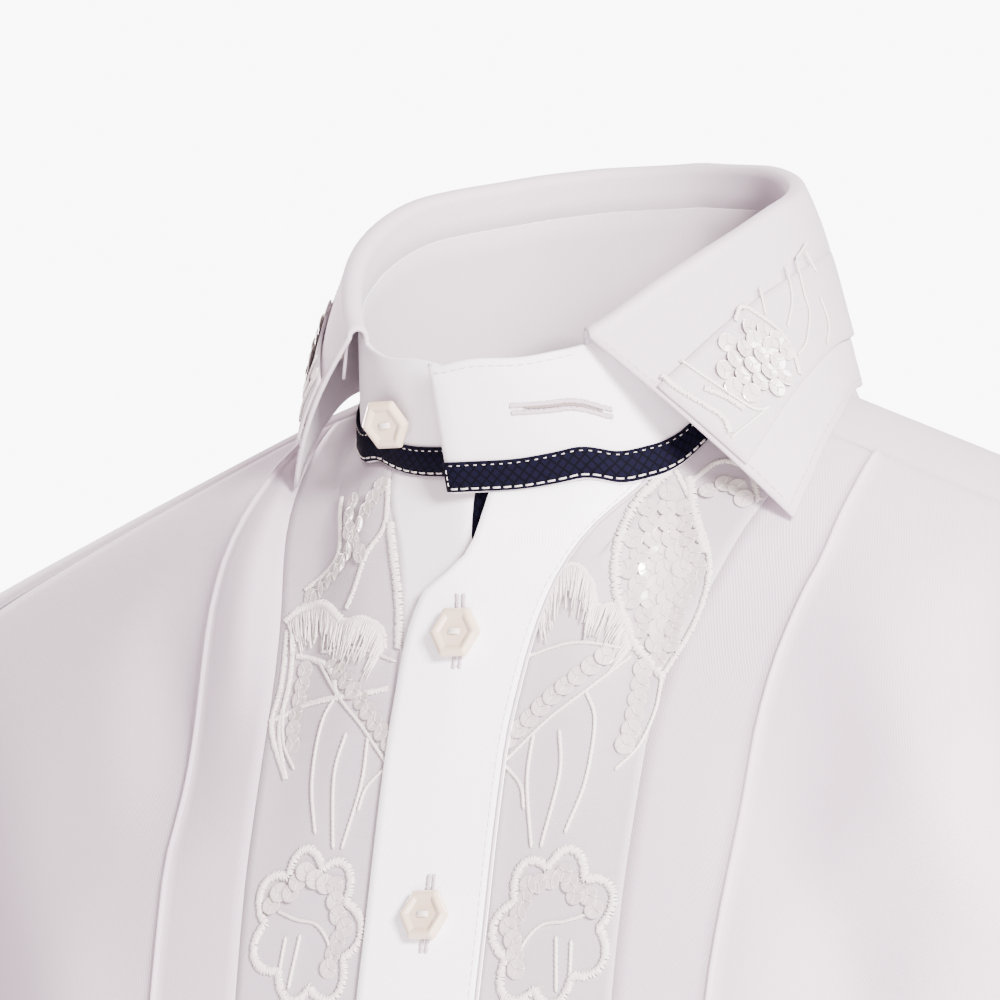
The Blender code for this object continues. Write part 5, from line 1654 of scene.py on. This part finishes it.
def smooth_line(corners, per_span=24):
    """A smooth curve through given corners."""
    corners = np.asarray(corners, float)
    ends = np.concatenate([2 * corners[:1] - corners[1:2], corners, 2 * corners[-1:] - corners[-2:-1]])
    t = np.linspace(0, 1, per_span, endpoint=False)[:, None]
    spans = []
    for a, b, c, d in zip(ends, ends[1:], ends[2:], ends[3:]):
        spans.append(b + 0.5 * t * ((c - a) + t * (2 * a - 5 * b + 4 * c - d + t * (3 * (b - c) + d - a))))
    return np.concatenate(spans + [corners[-1:]])


def face_of(place_at, lift):
    """Points at a lift over the cloth, and the direction out of it there."""
    low = settled(place_at(lift))
    return low, unit(settled(place_at(lift + 1.0)) - low)


def insert_surface(side):
    """Maps distance out and height to the insert's outer face, with the direction out of the cloth."""
    sign = 1.0 if side == "left" else -1.0

    def at(places):
        angle = angle_of(places[..., 0], places[..., 1]) * sign
        lift = WALL + (lap_lift(angle, places[..., 1]) if side == "left" else 0.0 * angle)
        return face_of(lambda height: body_layer(angle, places[..., 1], height), lift)

    return at


def placket_surface(places):
    """Maps x and height to the left placket's outer face."""
    angle = angle_of(np.abs(places[..., 0]), places[..., 1]) * np.sign(places[..., 0])
    lift = 2 * WALL + PLACKET_GAP + lap_lift(angle, places[..., 1])
    return face_of(lambda height: body_layer(angle, places[..., 1], height), lift)


def leaf_surface(side):
    """Maps distance back from the leaf's front edge and down from the fold to the patch's outer face."""

    def at(places):
        angle = np.radians(FALL_START + places[..., 0] / LEAF_MM_PER_DEGREE)
        angle = angle if side == "left" else 2 * math.pi - angle
        lift = np.full(angle.shape, FALL_WALL / 2 + LAYER_GAP + TRIM_WALL)
        return face_of(lambda height: leaf_point(angle, places[..., 1] / LEAF_DEPTH, height), lift)

    return at


def stand_surface(places):
    """Maps degrees round the neck and height up the stand to the stand's outer face."""
    angle = np.radians(places[..., 0])
    lift = np.full(angle.shape, STAND_WALL / 2)
    return face_of(lambda height: stand_point(angle, places[..., 1], height), lift)


def travelled_along(line):
    """Distance along the line at each of its points."""
    return np.concatenate([[0.0], np.cumsum(np.linalg.norm(np.diff(line, axis=0), axis=1))])


def at_stops(stops, travelled, values):
    """Values of a line's points, read at other distances along it."""
    return np.stack([np.interp(stops, travelled, column) for column in values.T], axis=-1)


def evenly(points, out, step):
    """The line in even steps, with the directions out of the cloth and along it, and the distances."""
    travelled = travelled_along(points)
    stops = np.linspace(0, travelled[-1], max(2, int(round(travelled[-1] / step)) + 1))
    points = at_stops(stops, travelled, points)
    out = unit(at_stops(stops, travelled, out))
    return points, out, unit(np.gradient(points, axis=0)), stops


def tube_faces(count, rings, sides):
    """Walls and ends of tubes whose points are numbered ring by ring."""
    index = np.arange(count * rings * sides).reshape(count, rings, sides)
    after = np.roll(index, -1, axis=2)
    walls = np.stack([index[:, :-1], after[:, :-1], after[:, 1:], index[:, 1:]], axis=-1).reshape(-1, 4)
    ends = np.concatenate([index[:, 0, ::-1], index[:, -1]])
    return walls.tolist() + ends.tolist()


def threads(lines, out, radius, sides=4, flat=0.75):
    """Closed threads along lines of equal length, as points and faces."""
    count, rings = lines.shape[:2]
    along = unit(np.gradient(lines, axis=1))
    aside = unit(np.cross(out, along))
    upward = np.cross(along, aside)
    turn = full_turn(sides)
    swing = aside[..., None, :] * np.cos(turn)[:, None] + upward[..., None, :] * flat * np.sin(turn)[:, None]
    points = lines[..., None, :] + swing * np.broadcast_to(radius, (count, rings, sides))[..., None]
    return points.reshape(-1, 3), tube_faces(count, rings, sides)


def joined(parts):
    points = []
    faces = []
    start = 0
    for some_points, some_faces in parts:
        points.append(some_points)
        faces += [[corner + start for corner in face] for face in some_faces]
        start += len(some_points)
    return np.concatenate(points), faces


def cord(at, corners, radius=CORD_RADIUS):
    """A twisted cord laid along the corners."""
    points, out, _, stops = evenly(*at(smooth_line(corners)), CORD_STEP)
    turn = full_turn(CORD_SIDES)
    twist = 1 + CORD_SWELL * np.cos(2 * turn - 2 * math.pi * stops[:, None] / CORD_TWIST)
    taper = np.minimum(1.0, CORD_TIP + np.minimum(stops, stops[::-1]) / CORD_TAPER)[:, None]
    line = points + out * radius * CORD_LIFT
    return threads(line[None], out[None], radius * twist * taper, sides=CORD_SIDES)


def satin(at, corners, width, chance, closed_line=None):
    """A raised border of close stitches laid across the line, uneven at its edges."""
    line = smooth_line(corners) if closed_line is None else closed_line
    points, out, along, _ = evenly(*at(line), STITCH_STEP)
    aside = np.cross(along, out)
    reach = width / 2 * chance.uniform(*SATIN_REACH, (2, len(points), 1))
    lean = along * chance.uniform(-SATIN_LEAN, SATIN_LEAN, (len(points), 1))
    share = np.array(SATIN_SHARES)[None, :, None]
    half = np.where(share < 0, reach[0][:, None], reach[1][:, None])
    rise = SATIN_FOOT + SATIN_FULLNESS * width * (1 - share**2)
    lines = points[:, None] + (aside + lean)[:, None] * share * half + out[:, None] * rise
    return threads(lines, np.broadcast_to(out[:, None], lines.shape), STITCH_RADIUS)


def fan(at, corners, focus, chance):
    """Long satin stitches from a scalloped edge towards one place, of uneven length."""
    points, out, _, _ = evenly(*at(smooth_line(corners)), FAN_STEP)
    target = at(np.array(focus, float))[0]
    parts = []
    for layer in range(FAN_LAYERS):
        length = chance.uniform(*FAN_LENGTH, (len(points), 1, 1)) * (1 - 0.35 * layer)
        towards = unit(target - points)[:, None] + chance.normal(0, UNEVEN_THREADS, (len(points), 1, 3))
        share = np.array(FAN_SHARES)[None, :, None]
        rise = 0.25 + 0.35 * layer + 0.3 * np.sin(math.pi * share)
        lines = points[:, None] + towards * share * length + out[:, None] * rise
        parts.append(threads(lines, np.broadcast_to(out[:, None], lines.shape), FAN_THREAD))
    return joined(parts)


def sequins(at, places, chance):
    """Shallow round sequins, each tilted onto the next, and the stitches that hold them."""
    centres, out = at(np.asarray(places, float))
    count = len(centres)
    down = unit(np.gradient(centres, axis=0)) if count > 1 else np.cross(out, [1.0, 0.0, 0.0])
    down = unit(down - out * np.sum(down * out, axis=1, keepdims=True))
    facing = unit(out + down * SEQUIN_TILT + chance.normal(0, UNEVEN_THREADS, (count, 3)))
    first = unit(np.cross(facing, down))
    second = np.cross(facing, first)
    turn = full_turn(SEQUIN_SIDES)
    swing = first[:, None] * np.cos(turn)[:, None] + second[:, None] * np.sin(turn)[:, None]
    middle = (centres + out * (SEQUIN_RADIUS * SEQUIN_TILT + LAYER_GAP))[:, None]
    face = facing[:, None]
    rings = [middle + swing * SEQUIN_RADIUS * share + face * rise for share, rise in SEQUIN_RINGS]
    points = np.stack(rings, axis=1)
    bars = []
    for bar in range(SEQUIN_STITCHES):
        angle = chance.uniform(-BAR_TURN, BAR_TURN, (count, 1)) + bar * 2 * math.pi / SEQUIN_STITCHES
        reach = first * np.cos(angle) + second * np.sin(angle)
        share = np.array(BAR_SHARES)[None, :, None]
        lift = np.array(BAR_HEIGHTS)[None, :, None]
        lines = middle + reach[:, None] * share * SEQUIN_RADIUS + face * lift
        bars.append(threads(lines, np.broadcast_to(face, lines.shape), BAR_RADIUS))
    return (points.reshape(-1, 3), tube_faces(count, len(SEQUIN_RINGS), SEQUIN_SIDES)), joined(bars)


def row_of(corners):
    """Places at even steps along a smooth line."""
    line = smooth_line(corners)
    travelled = travelled_along(line)
    return at_stops(np.arange(0, travelled[-1] + 0.01, SEQUIN_SPACING), travelled, line)


def filled_leaf():
    """Sequin places between the leaf's two borders, in staggered rows."""
    near = smooth_line(LEAF_BORDER)[::-1]
    far = smooth_line(LEAF_FAR_BORDER)[::-1]
    places = []
    for number, z in enumerate(np.arange(*LEAF_FILL, SEQUIN_SPACING)):
        start = np.interp(z, near[:, 1], near[:, 0]) + LEAF_NEAR_MARGIN
        end = np.interp(z, far[:, 1], far[:, 0]) - LEAF_FAR_MARGIN
        stagger = SEQUIN_STAGGER * (number % 2) * (end - start > NARROW_ROW)
        places += [(x, z) for x in np.arange(start + stagger, end, SEQUIN_ASIDE)]
    return np.array(places)


def blob_places():
    """Sequin places in an oval on the collar patch, in staggered rows."""
    centre_a, centre_b, half_a, half_b = PATCH_BLOB
    places = []
    for number, b in enumerate(np.arange(-half_b, half_b + 0.1, SEQUIN_SPACING)):
        for a in np.arange(-half_a + SEQUIN_STAGGER * (number % 2), half_a + 0.1, SEQUIN_ASIDE):
            if (a / half_a) ** 2 + (b / half_b) ** 2 < 1.05:
                places.append((centre_a + a, centre_b + b))
    return np.array(places)


def scalloped(flower, inset_by=0.0):
    """The lobed line round one flower, closed on itself."""
    centre_x, centre_z, radius, lobes = flower
    swing = np.linspace(0, 2 * math.pi, FLOWER_STATIONS)
    reach = radius * (1 - LOBE_DEPTH + 2 * LOBE_DEPTH * np.abs(np.sin(lobes * swing / 2))) - inset_by
    reach = reach * (1 + UNEVEN_LOBES * (np.sin(2 * swing + 0.8) + 0.7 * np.sin(3 * swing + 2.0)))
    x = centre_x + reach * np.cos(swing)
    z = centre_z + FLOWER_STRETCH * reach * np.sin(swing)
    return np.stack([x, z], axis=-1)


def moved(corners, out, up):
    return np.asarray(corners, float) + np.array([out, up])


def insert_embroidery(side, chance):
    """Borders, cords, sequins and their stitches on one insert."""
    at = insert_surface(side)
    top = LEFT_TOP if side == "left" else RIGHT_TOP
    borders = [satin(at, corners, THICK_SATIN, chance) for corners in top["thick"]]
    borders += [satin(at, corners, THIN_SATIN, chance) for corners in top["thin"]]
    borders.append(satin(at, top["fan"], THIN_SATIN, chance))
    borders.append(fan(at, top["fan"], top["fan_focus"], chance))
    rows = [row_of(corners) for corners in top["sequins"]]
    if side == "left":
        rows.append(filled_leaf())
    cords = []
    for number in range(MOTIF_COUNT):
        up = MOTIF_REPEAT * number
        if number:
            near, far = (moved(line, LOWER_LEAF_SHIFT, up) for line in (LEAF_BORDER, LEAF_FAR_BORDER))
            borders.append(satin(at, near, THICK_SATIN, chance))
            borders.append(satin(at, far, THIN_SATIN, chance))
            rows.append(moved(filled_leaf(), LOWER_LEAF_SHIFT, up))
        for line in SPRAY:
            out, high = line[0]
            if (number == 0 or out < SPRAY_INSIDE) and (number < MOTIF_COUNT - 1 or high > LAST_SPRAY_START):
                cords.append(cord(at, moved(line, 0.0, up)))
        for line in SPRAY_SEQUINS:
            if number == 0 or line[0][0] < SEQUINS_INSIDE:
                rows.append(row_of(moved(line, 0.0, up)))
    for flower in FLOWERS:
        borders.append(satin(at, None, FLOWER_SATIN, chance, scalloped(flower)))
        rows.append(row_of(scalloped(flower, FLOWER_ROW_INSET)[FLOWER_ROW]))
    discs, bars = zip(*[sequins(at, places, chance) for places in rows if len(places)])
    return joined(borders), joined(cords), joined(discs), joined(bars)


def patch_embroidery(side, chance):
    """Borders, cords, sequins and their stitches on one end of the collar."""
    at = leaf_surface(side)
    borders = [satin(at, corners, THIN_SATIN, chance) for corners in PATCH_SATIN]
    borders.append(satin(at, PATCH_CORDS[0], PATCH_BORDER_SATIN, chance))
    cords = [cord(at, corners, PATCH_CORD_RADIUS) for corners in PATCH_CORDS[1:]]
    rows = [row_of(PATCH_SEQUIN_ARC), blob_places()]
    discs, bars = zip(*[sequins(at, places, chance) for places in rows])
    return joined(borders), joined(cords), joined(discs), joined(bars)


def embroider(materials):
    """Two pieces for each side: all the thread, and the sequins."""
    chance = np.random.default_rng(7)
    for side in ("left", "right"):
        borders, cords, discs, bars = insert_embroidery(side, chance)
        flowers = [f"flower_{side}_{number}" for number in range(1, len(FLOWERS) + 1)]
        place_threads("borders_" + side, borders, materials, flowers)
        place_threads("cords_" + side, joined([cords, bars]), materials)
        place_sequins("sequins_" + side, discs, materials)
        borders, cords, discs, bars = patch_embroidery(side, chance)
        place_threads("patch_threads_" + side, joined([borders, cords, bars]), materials)
        place_sequins("patch_sequins_" + side, discs, materials)


def place_threads(name, made, materials, nodes=(), slot="ivory_thread"):
    points, faces = made
    return dressed(mesh_piece(name, points, faces, None, materials[slot]), slot, *nodes)


def place_sequins(name, made, materials):
    points, faces = made
    return dressed(mesh_piece(name, points, faces, None, materials["sequin"], smooth=False), "cream_button")


def dashes(points, out, length, gap, radius):
    """A running stitch along a line."""
    points, out, _, stops = evenly(points, out, DASH_STEP)
    rise = radius * np.array(DASH_RISE)[:, None]
    parts = []
    for start in np.arange(gap, stops[-1] - length, length + gap):
        where = np.linspace(start, start + length, len(DASH_RISE))
        face = unit(at_stops(where, stops, out))
        parts.append(threads((at_stops(where, stops, points) + face * rise)[None], face[None], radius))
    return joined(parts)


def on_ribbon(angle, height):
    """Points of the ribbon's outer face, and the directions out of it."""
    points, out = stand_surface(np.stack(np.broadcast_arrays(angle, height), axis=-1))
    return points + out * (RIBBON_GAP + TRIM_WALL), out


def stitch_ribbon(materials):
    """White running stitches along both edges of the ribbon, and up its left end."""
    first = LEFT_END_ANGLE + RIBBON_CORNER_INSET
    step = np.linspace(first, RIGHT_END_ANGLE - RIBBON_CORNER_INSET, STITCH_STATIONS)
    low = RIBBON_FROM_EDGE + RIBBON_LOW_INSET
    high = RIBBON_FROM_EDGE + RIBBON_WIDTH
    up_end = np.linspace(low, high - RIBBON_CORNER_INSET, RIBBON_END_STATIONS)
    made = joined([
        dashes(*on_ribbon(step, low), *RIBBON_LOW_STITCH),
        dashes(*on_ribbon(step, high - RIBBON_HIGH_INSET), *RIBBON_HIGH_STITCH),
        dashes(*on_ribbon(LEFT_END_ANGLE + RIBBON_END_INSET, up_end), *RIBBON_END_STITCH),
    ])
    place_threads("ribbon_stitches", made, materials)


def edge_line(grid, wall, column=None, row=None):
    """Points and outward directions along one row or column of a cloth's outer face."""
    normal = grid_normals(grid, False)
    place = (slice(None), column) if row is None else (row, slice(None))
    return grid[place] + normal[place] * wall, normal[place]


def leaf_stitches(side, back, down):
    """A running stitch on the leaf itself, under the height of its patch."""
    low, out = leaf_surface(side)(np.stack(np.broadcast_arrays(back, down), axis=-1))
    return dashes(low - out * (LAYER_GAP + TRIM_WALL), out, *SEAM_STITCH)


def stitch_cloth(materials):
    """Piping beside the placket, and rows of fine stitches along the edges of collar, left placket and cuffs.
    """
    placket = placket_left_grid()
    points, out, _, _ = evenly(*edge_line(placket, WALL, column=-1), PIPING_STEP)
    parts = [threads((points + out * PIPING_LIFT)[None], out[None], PIPING_RADIUS, sides=CORD_SIDES)]
    parts.append(dashes(*edge_line(placket, WALL, column=-2), *SEAM_STITCH))
    length = (360 - 2 * FALL_START) * LEAF_MM_PER_DEGREE
    around = np.linspace(LEAF_CORNER_INSET, length - LEAF_CORNER_INSET, STITCH_STATIONS)
    parts.append(leaf_stitches("left", around, LEAF_DEPTH - EDGE_INSET))
    for side in ("left", "right"):
        down = np.linspace(LEAF_END_INSET, LEAF_DEPTH - LEAF_TIP_INSET, EDGE_STATIONS)
        parts.append(leaf_stitches(side, LEAF_END_INSET, down))
        for row in (1, -2):
            parts.append(dashes(*edge_line(cuff_grid(side), CUFF_WALL, row=row), *SEAM_STITCH))
    top = np.linspace(STAND_STITCH_START, STAND_STITCH_END, EDGE_STATIONS)
    heights = stand_height(np.radians(top)) - EDGE_INSET
    parts.append(dashes(*stand_surface(np.stack([top, heights], axis=-1)), *SEAM_STITCH))
    # The stitches take the body's twill, whose darker, lilac colour is painted shade
    place_threads("seam_stitches", joined(parts), materials, slot="white_twill")


def buttonholes(materials):
    """Raised satin buttonholes: one under each front button, and the open one on the stand."""
    chance = np.random.default_rng(11)
    made = []
    for z in BUTTON_HEIGHTS:
        for offset in (-FRONT_HOLE_HALF_GAP, FRONT_HOLE_HALF_GAP):
            x = BUTTON_X + offset
            line = ((x, z + FRONT_HOLE_HALF_LENGTH), (x, z - FRONT_HOLE_HALF_LENGTH))
            made.append(satin(placket_surface, line, FRONT_HOLE_SATIN, chance))
    for offset in (-HOLE_HALF_GAP, HOLE_HALF_GAP):
        line = ((HOLE_FROM, HOLE_HEIGHT + offset), (HOLE_TO, HOLE_HEIGHT + HOLE_RISE + offset))
        made.append(satin(stand_surface, line, HOLE_SATIN, chance))
    # The buttonholes take the body's twill, whose darker, lilac colour is painted shade
    place_threads("buttonholes", joined(made), materials, slot="white_twill")
    # The slit is a dark cord, painted shade in the gap of the open buttonhole
    line = ((HOLE_FROM + SLIT_START_INSET, HOLE_HEIGHT), (HOLE_TO - SLIT_END_INSET, HOLE_HEIGHT + HOLE_RISE))
    points, faces = cord(stand_surface, line, SLIT_RADIUS)
    dressed(mesh_piece("buttonhole_slit_painted_shade", points, faces, None, materials["slit_painted_shade"]), "white_twill")


def sew_buttons(materials):
    """Every button over its own solid, with a thread bar through its holes."""
    names = [f"button_front_{number}" for number in range(1, len(BUTTON_HEIGHTS) + 1)]
    for name in names + ["button_neck", "cuff_button_left", "cuff_button_right"]:
        low, high = (np.array(corner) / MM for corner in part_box(name))
        middle = (low + high) / 2
        outward = button_facing(name, middle)
        scale = SMALL_BUTTON_SCALE if name.startswith("cuff") else 1.0
        if name == "button_neck":
            outward = unit(outward + np.array(NECK_BUTTON_LEAN))
            middle = middle + outward * NECK_BUTTON_SHANK
        base = middle - outward * BUTTON_THICKNESS * scale / 2
        button(name + "_look", base, outward, scale, materials, [name])
        thread_bar(name + "_thread", base, outward, scale, materials)
    for side in ("left", "right"):
        _, seat, face = tab_grid(side)
        thread_bar("tab_thread_" + side, seat, face, TAB_BUTTON_SCALE, materials)


def button_facing(name, middle):
    if name.startswith("button_front"):
        angle = angle_of(np.abs(middle[0]), middle[2]) * np.sign(middle[0])
        low = body_layer(angle, middle[2], WALL)
        return unit(body_layer(angle, middle[2], WALL + 1.0) - low)
    if name == "button_neck":
        place = np.array([360 + NECK_BUTTON_ANGLE, NECK_BUTTON_HEIGHT])
        return stand_surface(place[None])[1][0]
    outward = cuff_button_place()[1]
    return outward if name.endswith("left") else outward * np.array([-1.0, 1.0, 1.0])


def thread_bar(name, base, outward, scale, materials):
    """Three threads side by side over the middle of a button."""
    across = unit(np.cross([0.0, 0.0, 1.0], outward))
    upward = np.cross(outward, across)
    face = base + outward * BUTTON_THICKNESS * BUTTON_SECTION[1][1] * scale
    share = np.array(BAR_ACROSS)[:, None]
    rise = np.array(BAR_RISE)[:, None]
    lines = []
    for offset in BAR_OFFSETS:
        lines.append(face + (across * share * BAR_HALF_LENGTH + upward * offset + outward * rise) * scale)
    lines = np.array(lines)
    made = threads(lines, np.broadcast_to(outward, lines.shape), BAR_THREAD * scale, sides=6)
    place_threads(name, made, materials)


def tucked_under(grid):
    """The grid with one more row above it, passing inside the piece that it is sewn to."""
    normal = grid_normals(grid, False)[0]
    upward = unit(grid[0] - grid[1])
    hidden = grid[0] + upward * SEAM_ALLOWANCE - normal * (WALL + LAYER_GAP)
    return np.concatenate([hidden[None], grid])


def creased(grid, creases, closed=False):
    """The grid with its soft creases, fading out towards its edges."""
    last_row = grid.shape[0] - 1
    last_column = grid.shape[1] - 1
    shares = (np.linspace(0, 1, count) for count in grid.shape[:2])
    down, across = np.meshgrid(*shares, indexing="ij")
    rise = np.zeros(down.shape)
    for start, end, breadth, height in creases:
        first, last = (grid[int(row * last_row), int(column * last_column)] for row, column in (start, end))
        course = last - first
        share = np.clip((grid - first) @ course / (course @ course), 0, 1)
        away = np.linalg.norm(grid - first - share[..., None] * course, axis=-1)
        rise += height * np.exp(-((away / breadth) ** 2)) * np.sin(math.pi * share)
    edge = np.minimum(down, 1 - down)
    if not closed:
        edge = np.minimum(edge, np.minimum(across, 1 - across))
    fade = smooth_step(edge, 0.0, CREASE_MARGIN)
    return grid + grid_normals(grid, closed) * (rise * fade)[..., None]


def dress_body(materials):
    for side in ("left", "right"):
        grid, raised = front_grid(side)
        # The body cloth's darker, lilac twill is painted shade
        cloth_piece(
            "front_cloth_" + side, creased(grid, FRONT_CREASES[side]), WALL, "white_twill", materials,
            ["front_" + side], raised=raised,
        )
        sleeve = creased(sleeve_grid(side), SLEEVE_CREASES, True)
        # The insert's net is darker and lilac: painted shade
        cloth_piece(
            "insert_cloth_" + side, insert_grid(side), WALL, "sheer_net", materials,
            ["insert_" + side],
        )
        cloth_piece(
            "sleeve_cloth_" + side, sleeve, WALL, "white_twill", materials,
            ["sleeve_" + side], closed=True,
        )
        cloth_piece(
            "cuff_cloth_" + side, cuff_grid(side), CUFF_WALL, "white_twill", materials,
            ["cuff_" + side],
        )
    cloth_piece(
        "placket_cloth_left", placket_left_grid(), WALL, "white_twill", materials,
        ["placket_left"], finish="placket_twill",
    )
    placket = placket_right_grid(right_tape_at, right_seam_at, RIGHT_PLACKET_COLUMNS)
    # The right placket takes the stand's darker twill, painted shade
    cloth_piece(
        "placket_right_cloth", placket, WALL, "white_twill", materials,
        ["placket_right"], finish="stand_twill_painted_shade",
    )
    tape = placket_right_grid(right_edge_at, right_tape_at, TAPE_COLUMNS)
    cloth_piece(
        "placket_tape_cloth", tape, WALL, "navy", materials,
        ["placket_tape"],
    )
    cloth_piece("yoke_cloth", yoke_grid(), WALL, "white_twill", materials, ["yoke"])
    cloth_piece(
        "back_cloth", tucked_under(creased(back_grid(), BACK_CREASES)), WALL, "white_twill", materials,
        ["back"],
    )


def dress_collar(materials):
    # The stand takes a darker twill, painted shade, and a darker one still on its inner faces, painted shade
    # inside the collar
    cloth_piece(
        "stand_cloth", stand_grid(), STAND_WALL, "white_twill", materials,
        ["collar_stand"],
        centred=True, finish="stand_twill_painted_shade", inner_face_painted_shade=materials["inner_twill_painted_shade"],
    )
    cloth_piece(
        "ribbon_cloth", ribbon_grid(), TRIM_WALL, "navy", materials, ["stand_ribbon"]
    )
    # The fall takes a darker, lilac twill, painted shade
    cloth_piece(
        "fall_cloth", fall_grid(), FALL_WALL, "white_twill", materials,
        ["collar_fall"], centred=True, finish="leaf_twill_painted_shade",
    )
    for side in ("left", "right"):
        # The patch's net is darker and lilac: painted shade
        cloth_piece(
            "patch_cloth_" + side, patch_grid(side), TRIM_WALL, "sheer_net", materials,
            ["collar_patch_" + side], finish="patch_net_painted_shade",
        )
        grid, seat, face = tab_grid(side)
        cloth_piece(
            "tab_cloth_" + side, grid, TRIM_WALL, "white_twill", materials,
            ["collar_tab_" + side], centred=True,
        )
        button("tab_button_look_" + side, seat, face, TAB_BUTTON_SCALE, materials, ["tab_button_" + side])


def light_world(tree):
    """A pale studio round the shirt: bright behind it, softer as a light."""
    seen = tree.nodes.new("ShaderNodeBackground")
    cast = tree.nodes["Background"]
    seen.inputs[0].default_value = (1.0, 1.0, 1.0, 1.0)
    seen.inputs[1].default_value = BACKDROP_STRENGTH
    cast.inputs[0].default_value = STUDIO_COLOUR
    cast.inputs[1].default_value = STUDIO_STRENGTH
    path = tree.nodes.new("ShaderNodeLightPath")
    mix = tree.nodes.new("ShaderNodeMixShader")
    tree.links.new(path.outputs["Is Camera Ray"], mix.inputs[0])
    tree.links.new(cast.outputs[0], mix.inputs[1])
    tree.links.new(seen.outputs[0], mix.inputs[2])
    tree.links.new(mix.outputs[0], tree.nodes["World Output"].inputs[0])


def camera_and_light():
    camera = bpy.data.objects.new("camera", bpy.data.cameras.new("camera"))
    bpy.context.scene.collection.objects.link(camera)
    azimuth = math.radians(CAMERA_AZIMUTH)
    elevation = math.radians(CAMERA_ELEVATION)
    level = math.cos(elevation)
    facing = Vector((math.sin(azimuth) * level, -math.cos(azimuth) * level, math.sin(elevation)))
    eye = facing * CAMERA_DISTANCE
    camera.location = eye
    camera.rotation_euler = (-eye).to_track_quat("-Z", "Y").to_euler()
    camera.data.sensor_width = 36.0
    camera.data.lens = CAMERA_LENS
    camera.data.shift_x, camera.data.shift_y = CAMERA_SHIFT
    bpy.context.scene.camera = camera
    world = bpy.data.worlds.new("studio")
    bpy.context.scene.world = world
    world.use_nodes = True
    light_world(world.node_tree)
    for name, place, size, power, colour in LAMPS:
        light = bpy.data.lights.new(name, "AREA")
        light.energy = power
        light.color = colour
        light.size = size
        lamp = bpy.data.objects.new(name, light)
        lamp.location = place
        lamp.rotation_euler = (-Vector(place)).to_track_quat("-Z", "Y").to_euler()
        bpy.context.scene.collection.objects.link(lamp)


def make_floor():
    z = (HEM_Z - FLOOR_DROP) * MM
    corners = [(-1, -1), (1, -1), (1, 1), (-1, 1)]
    mesh = bpy.data.meshes.new("floor")
    mesh.from_pydata([(x * FLOOR_HALF, y * FLOOR_HALF, z) for x, y in corners], [], [[0, 1, 2, 3]])
    mesh.materials.append(new_material("floor", FLOOR_COLOUR, 0.9))
    floor = bpy.data.objects.new("floor", mesh)
    bpy.context.scene.collection.objects.link(floor)


def main():
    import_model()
    materials = make_materials()
    dress_body(materials)
    dress_collar(materials)
    embroider(materials)
    stitch_ribbon(materials)
    stitch_cloth(materials)
    buttonholes(materials)
    sew_buttons(materials)
    make_floor()
    camera_and_light()


main()
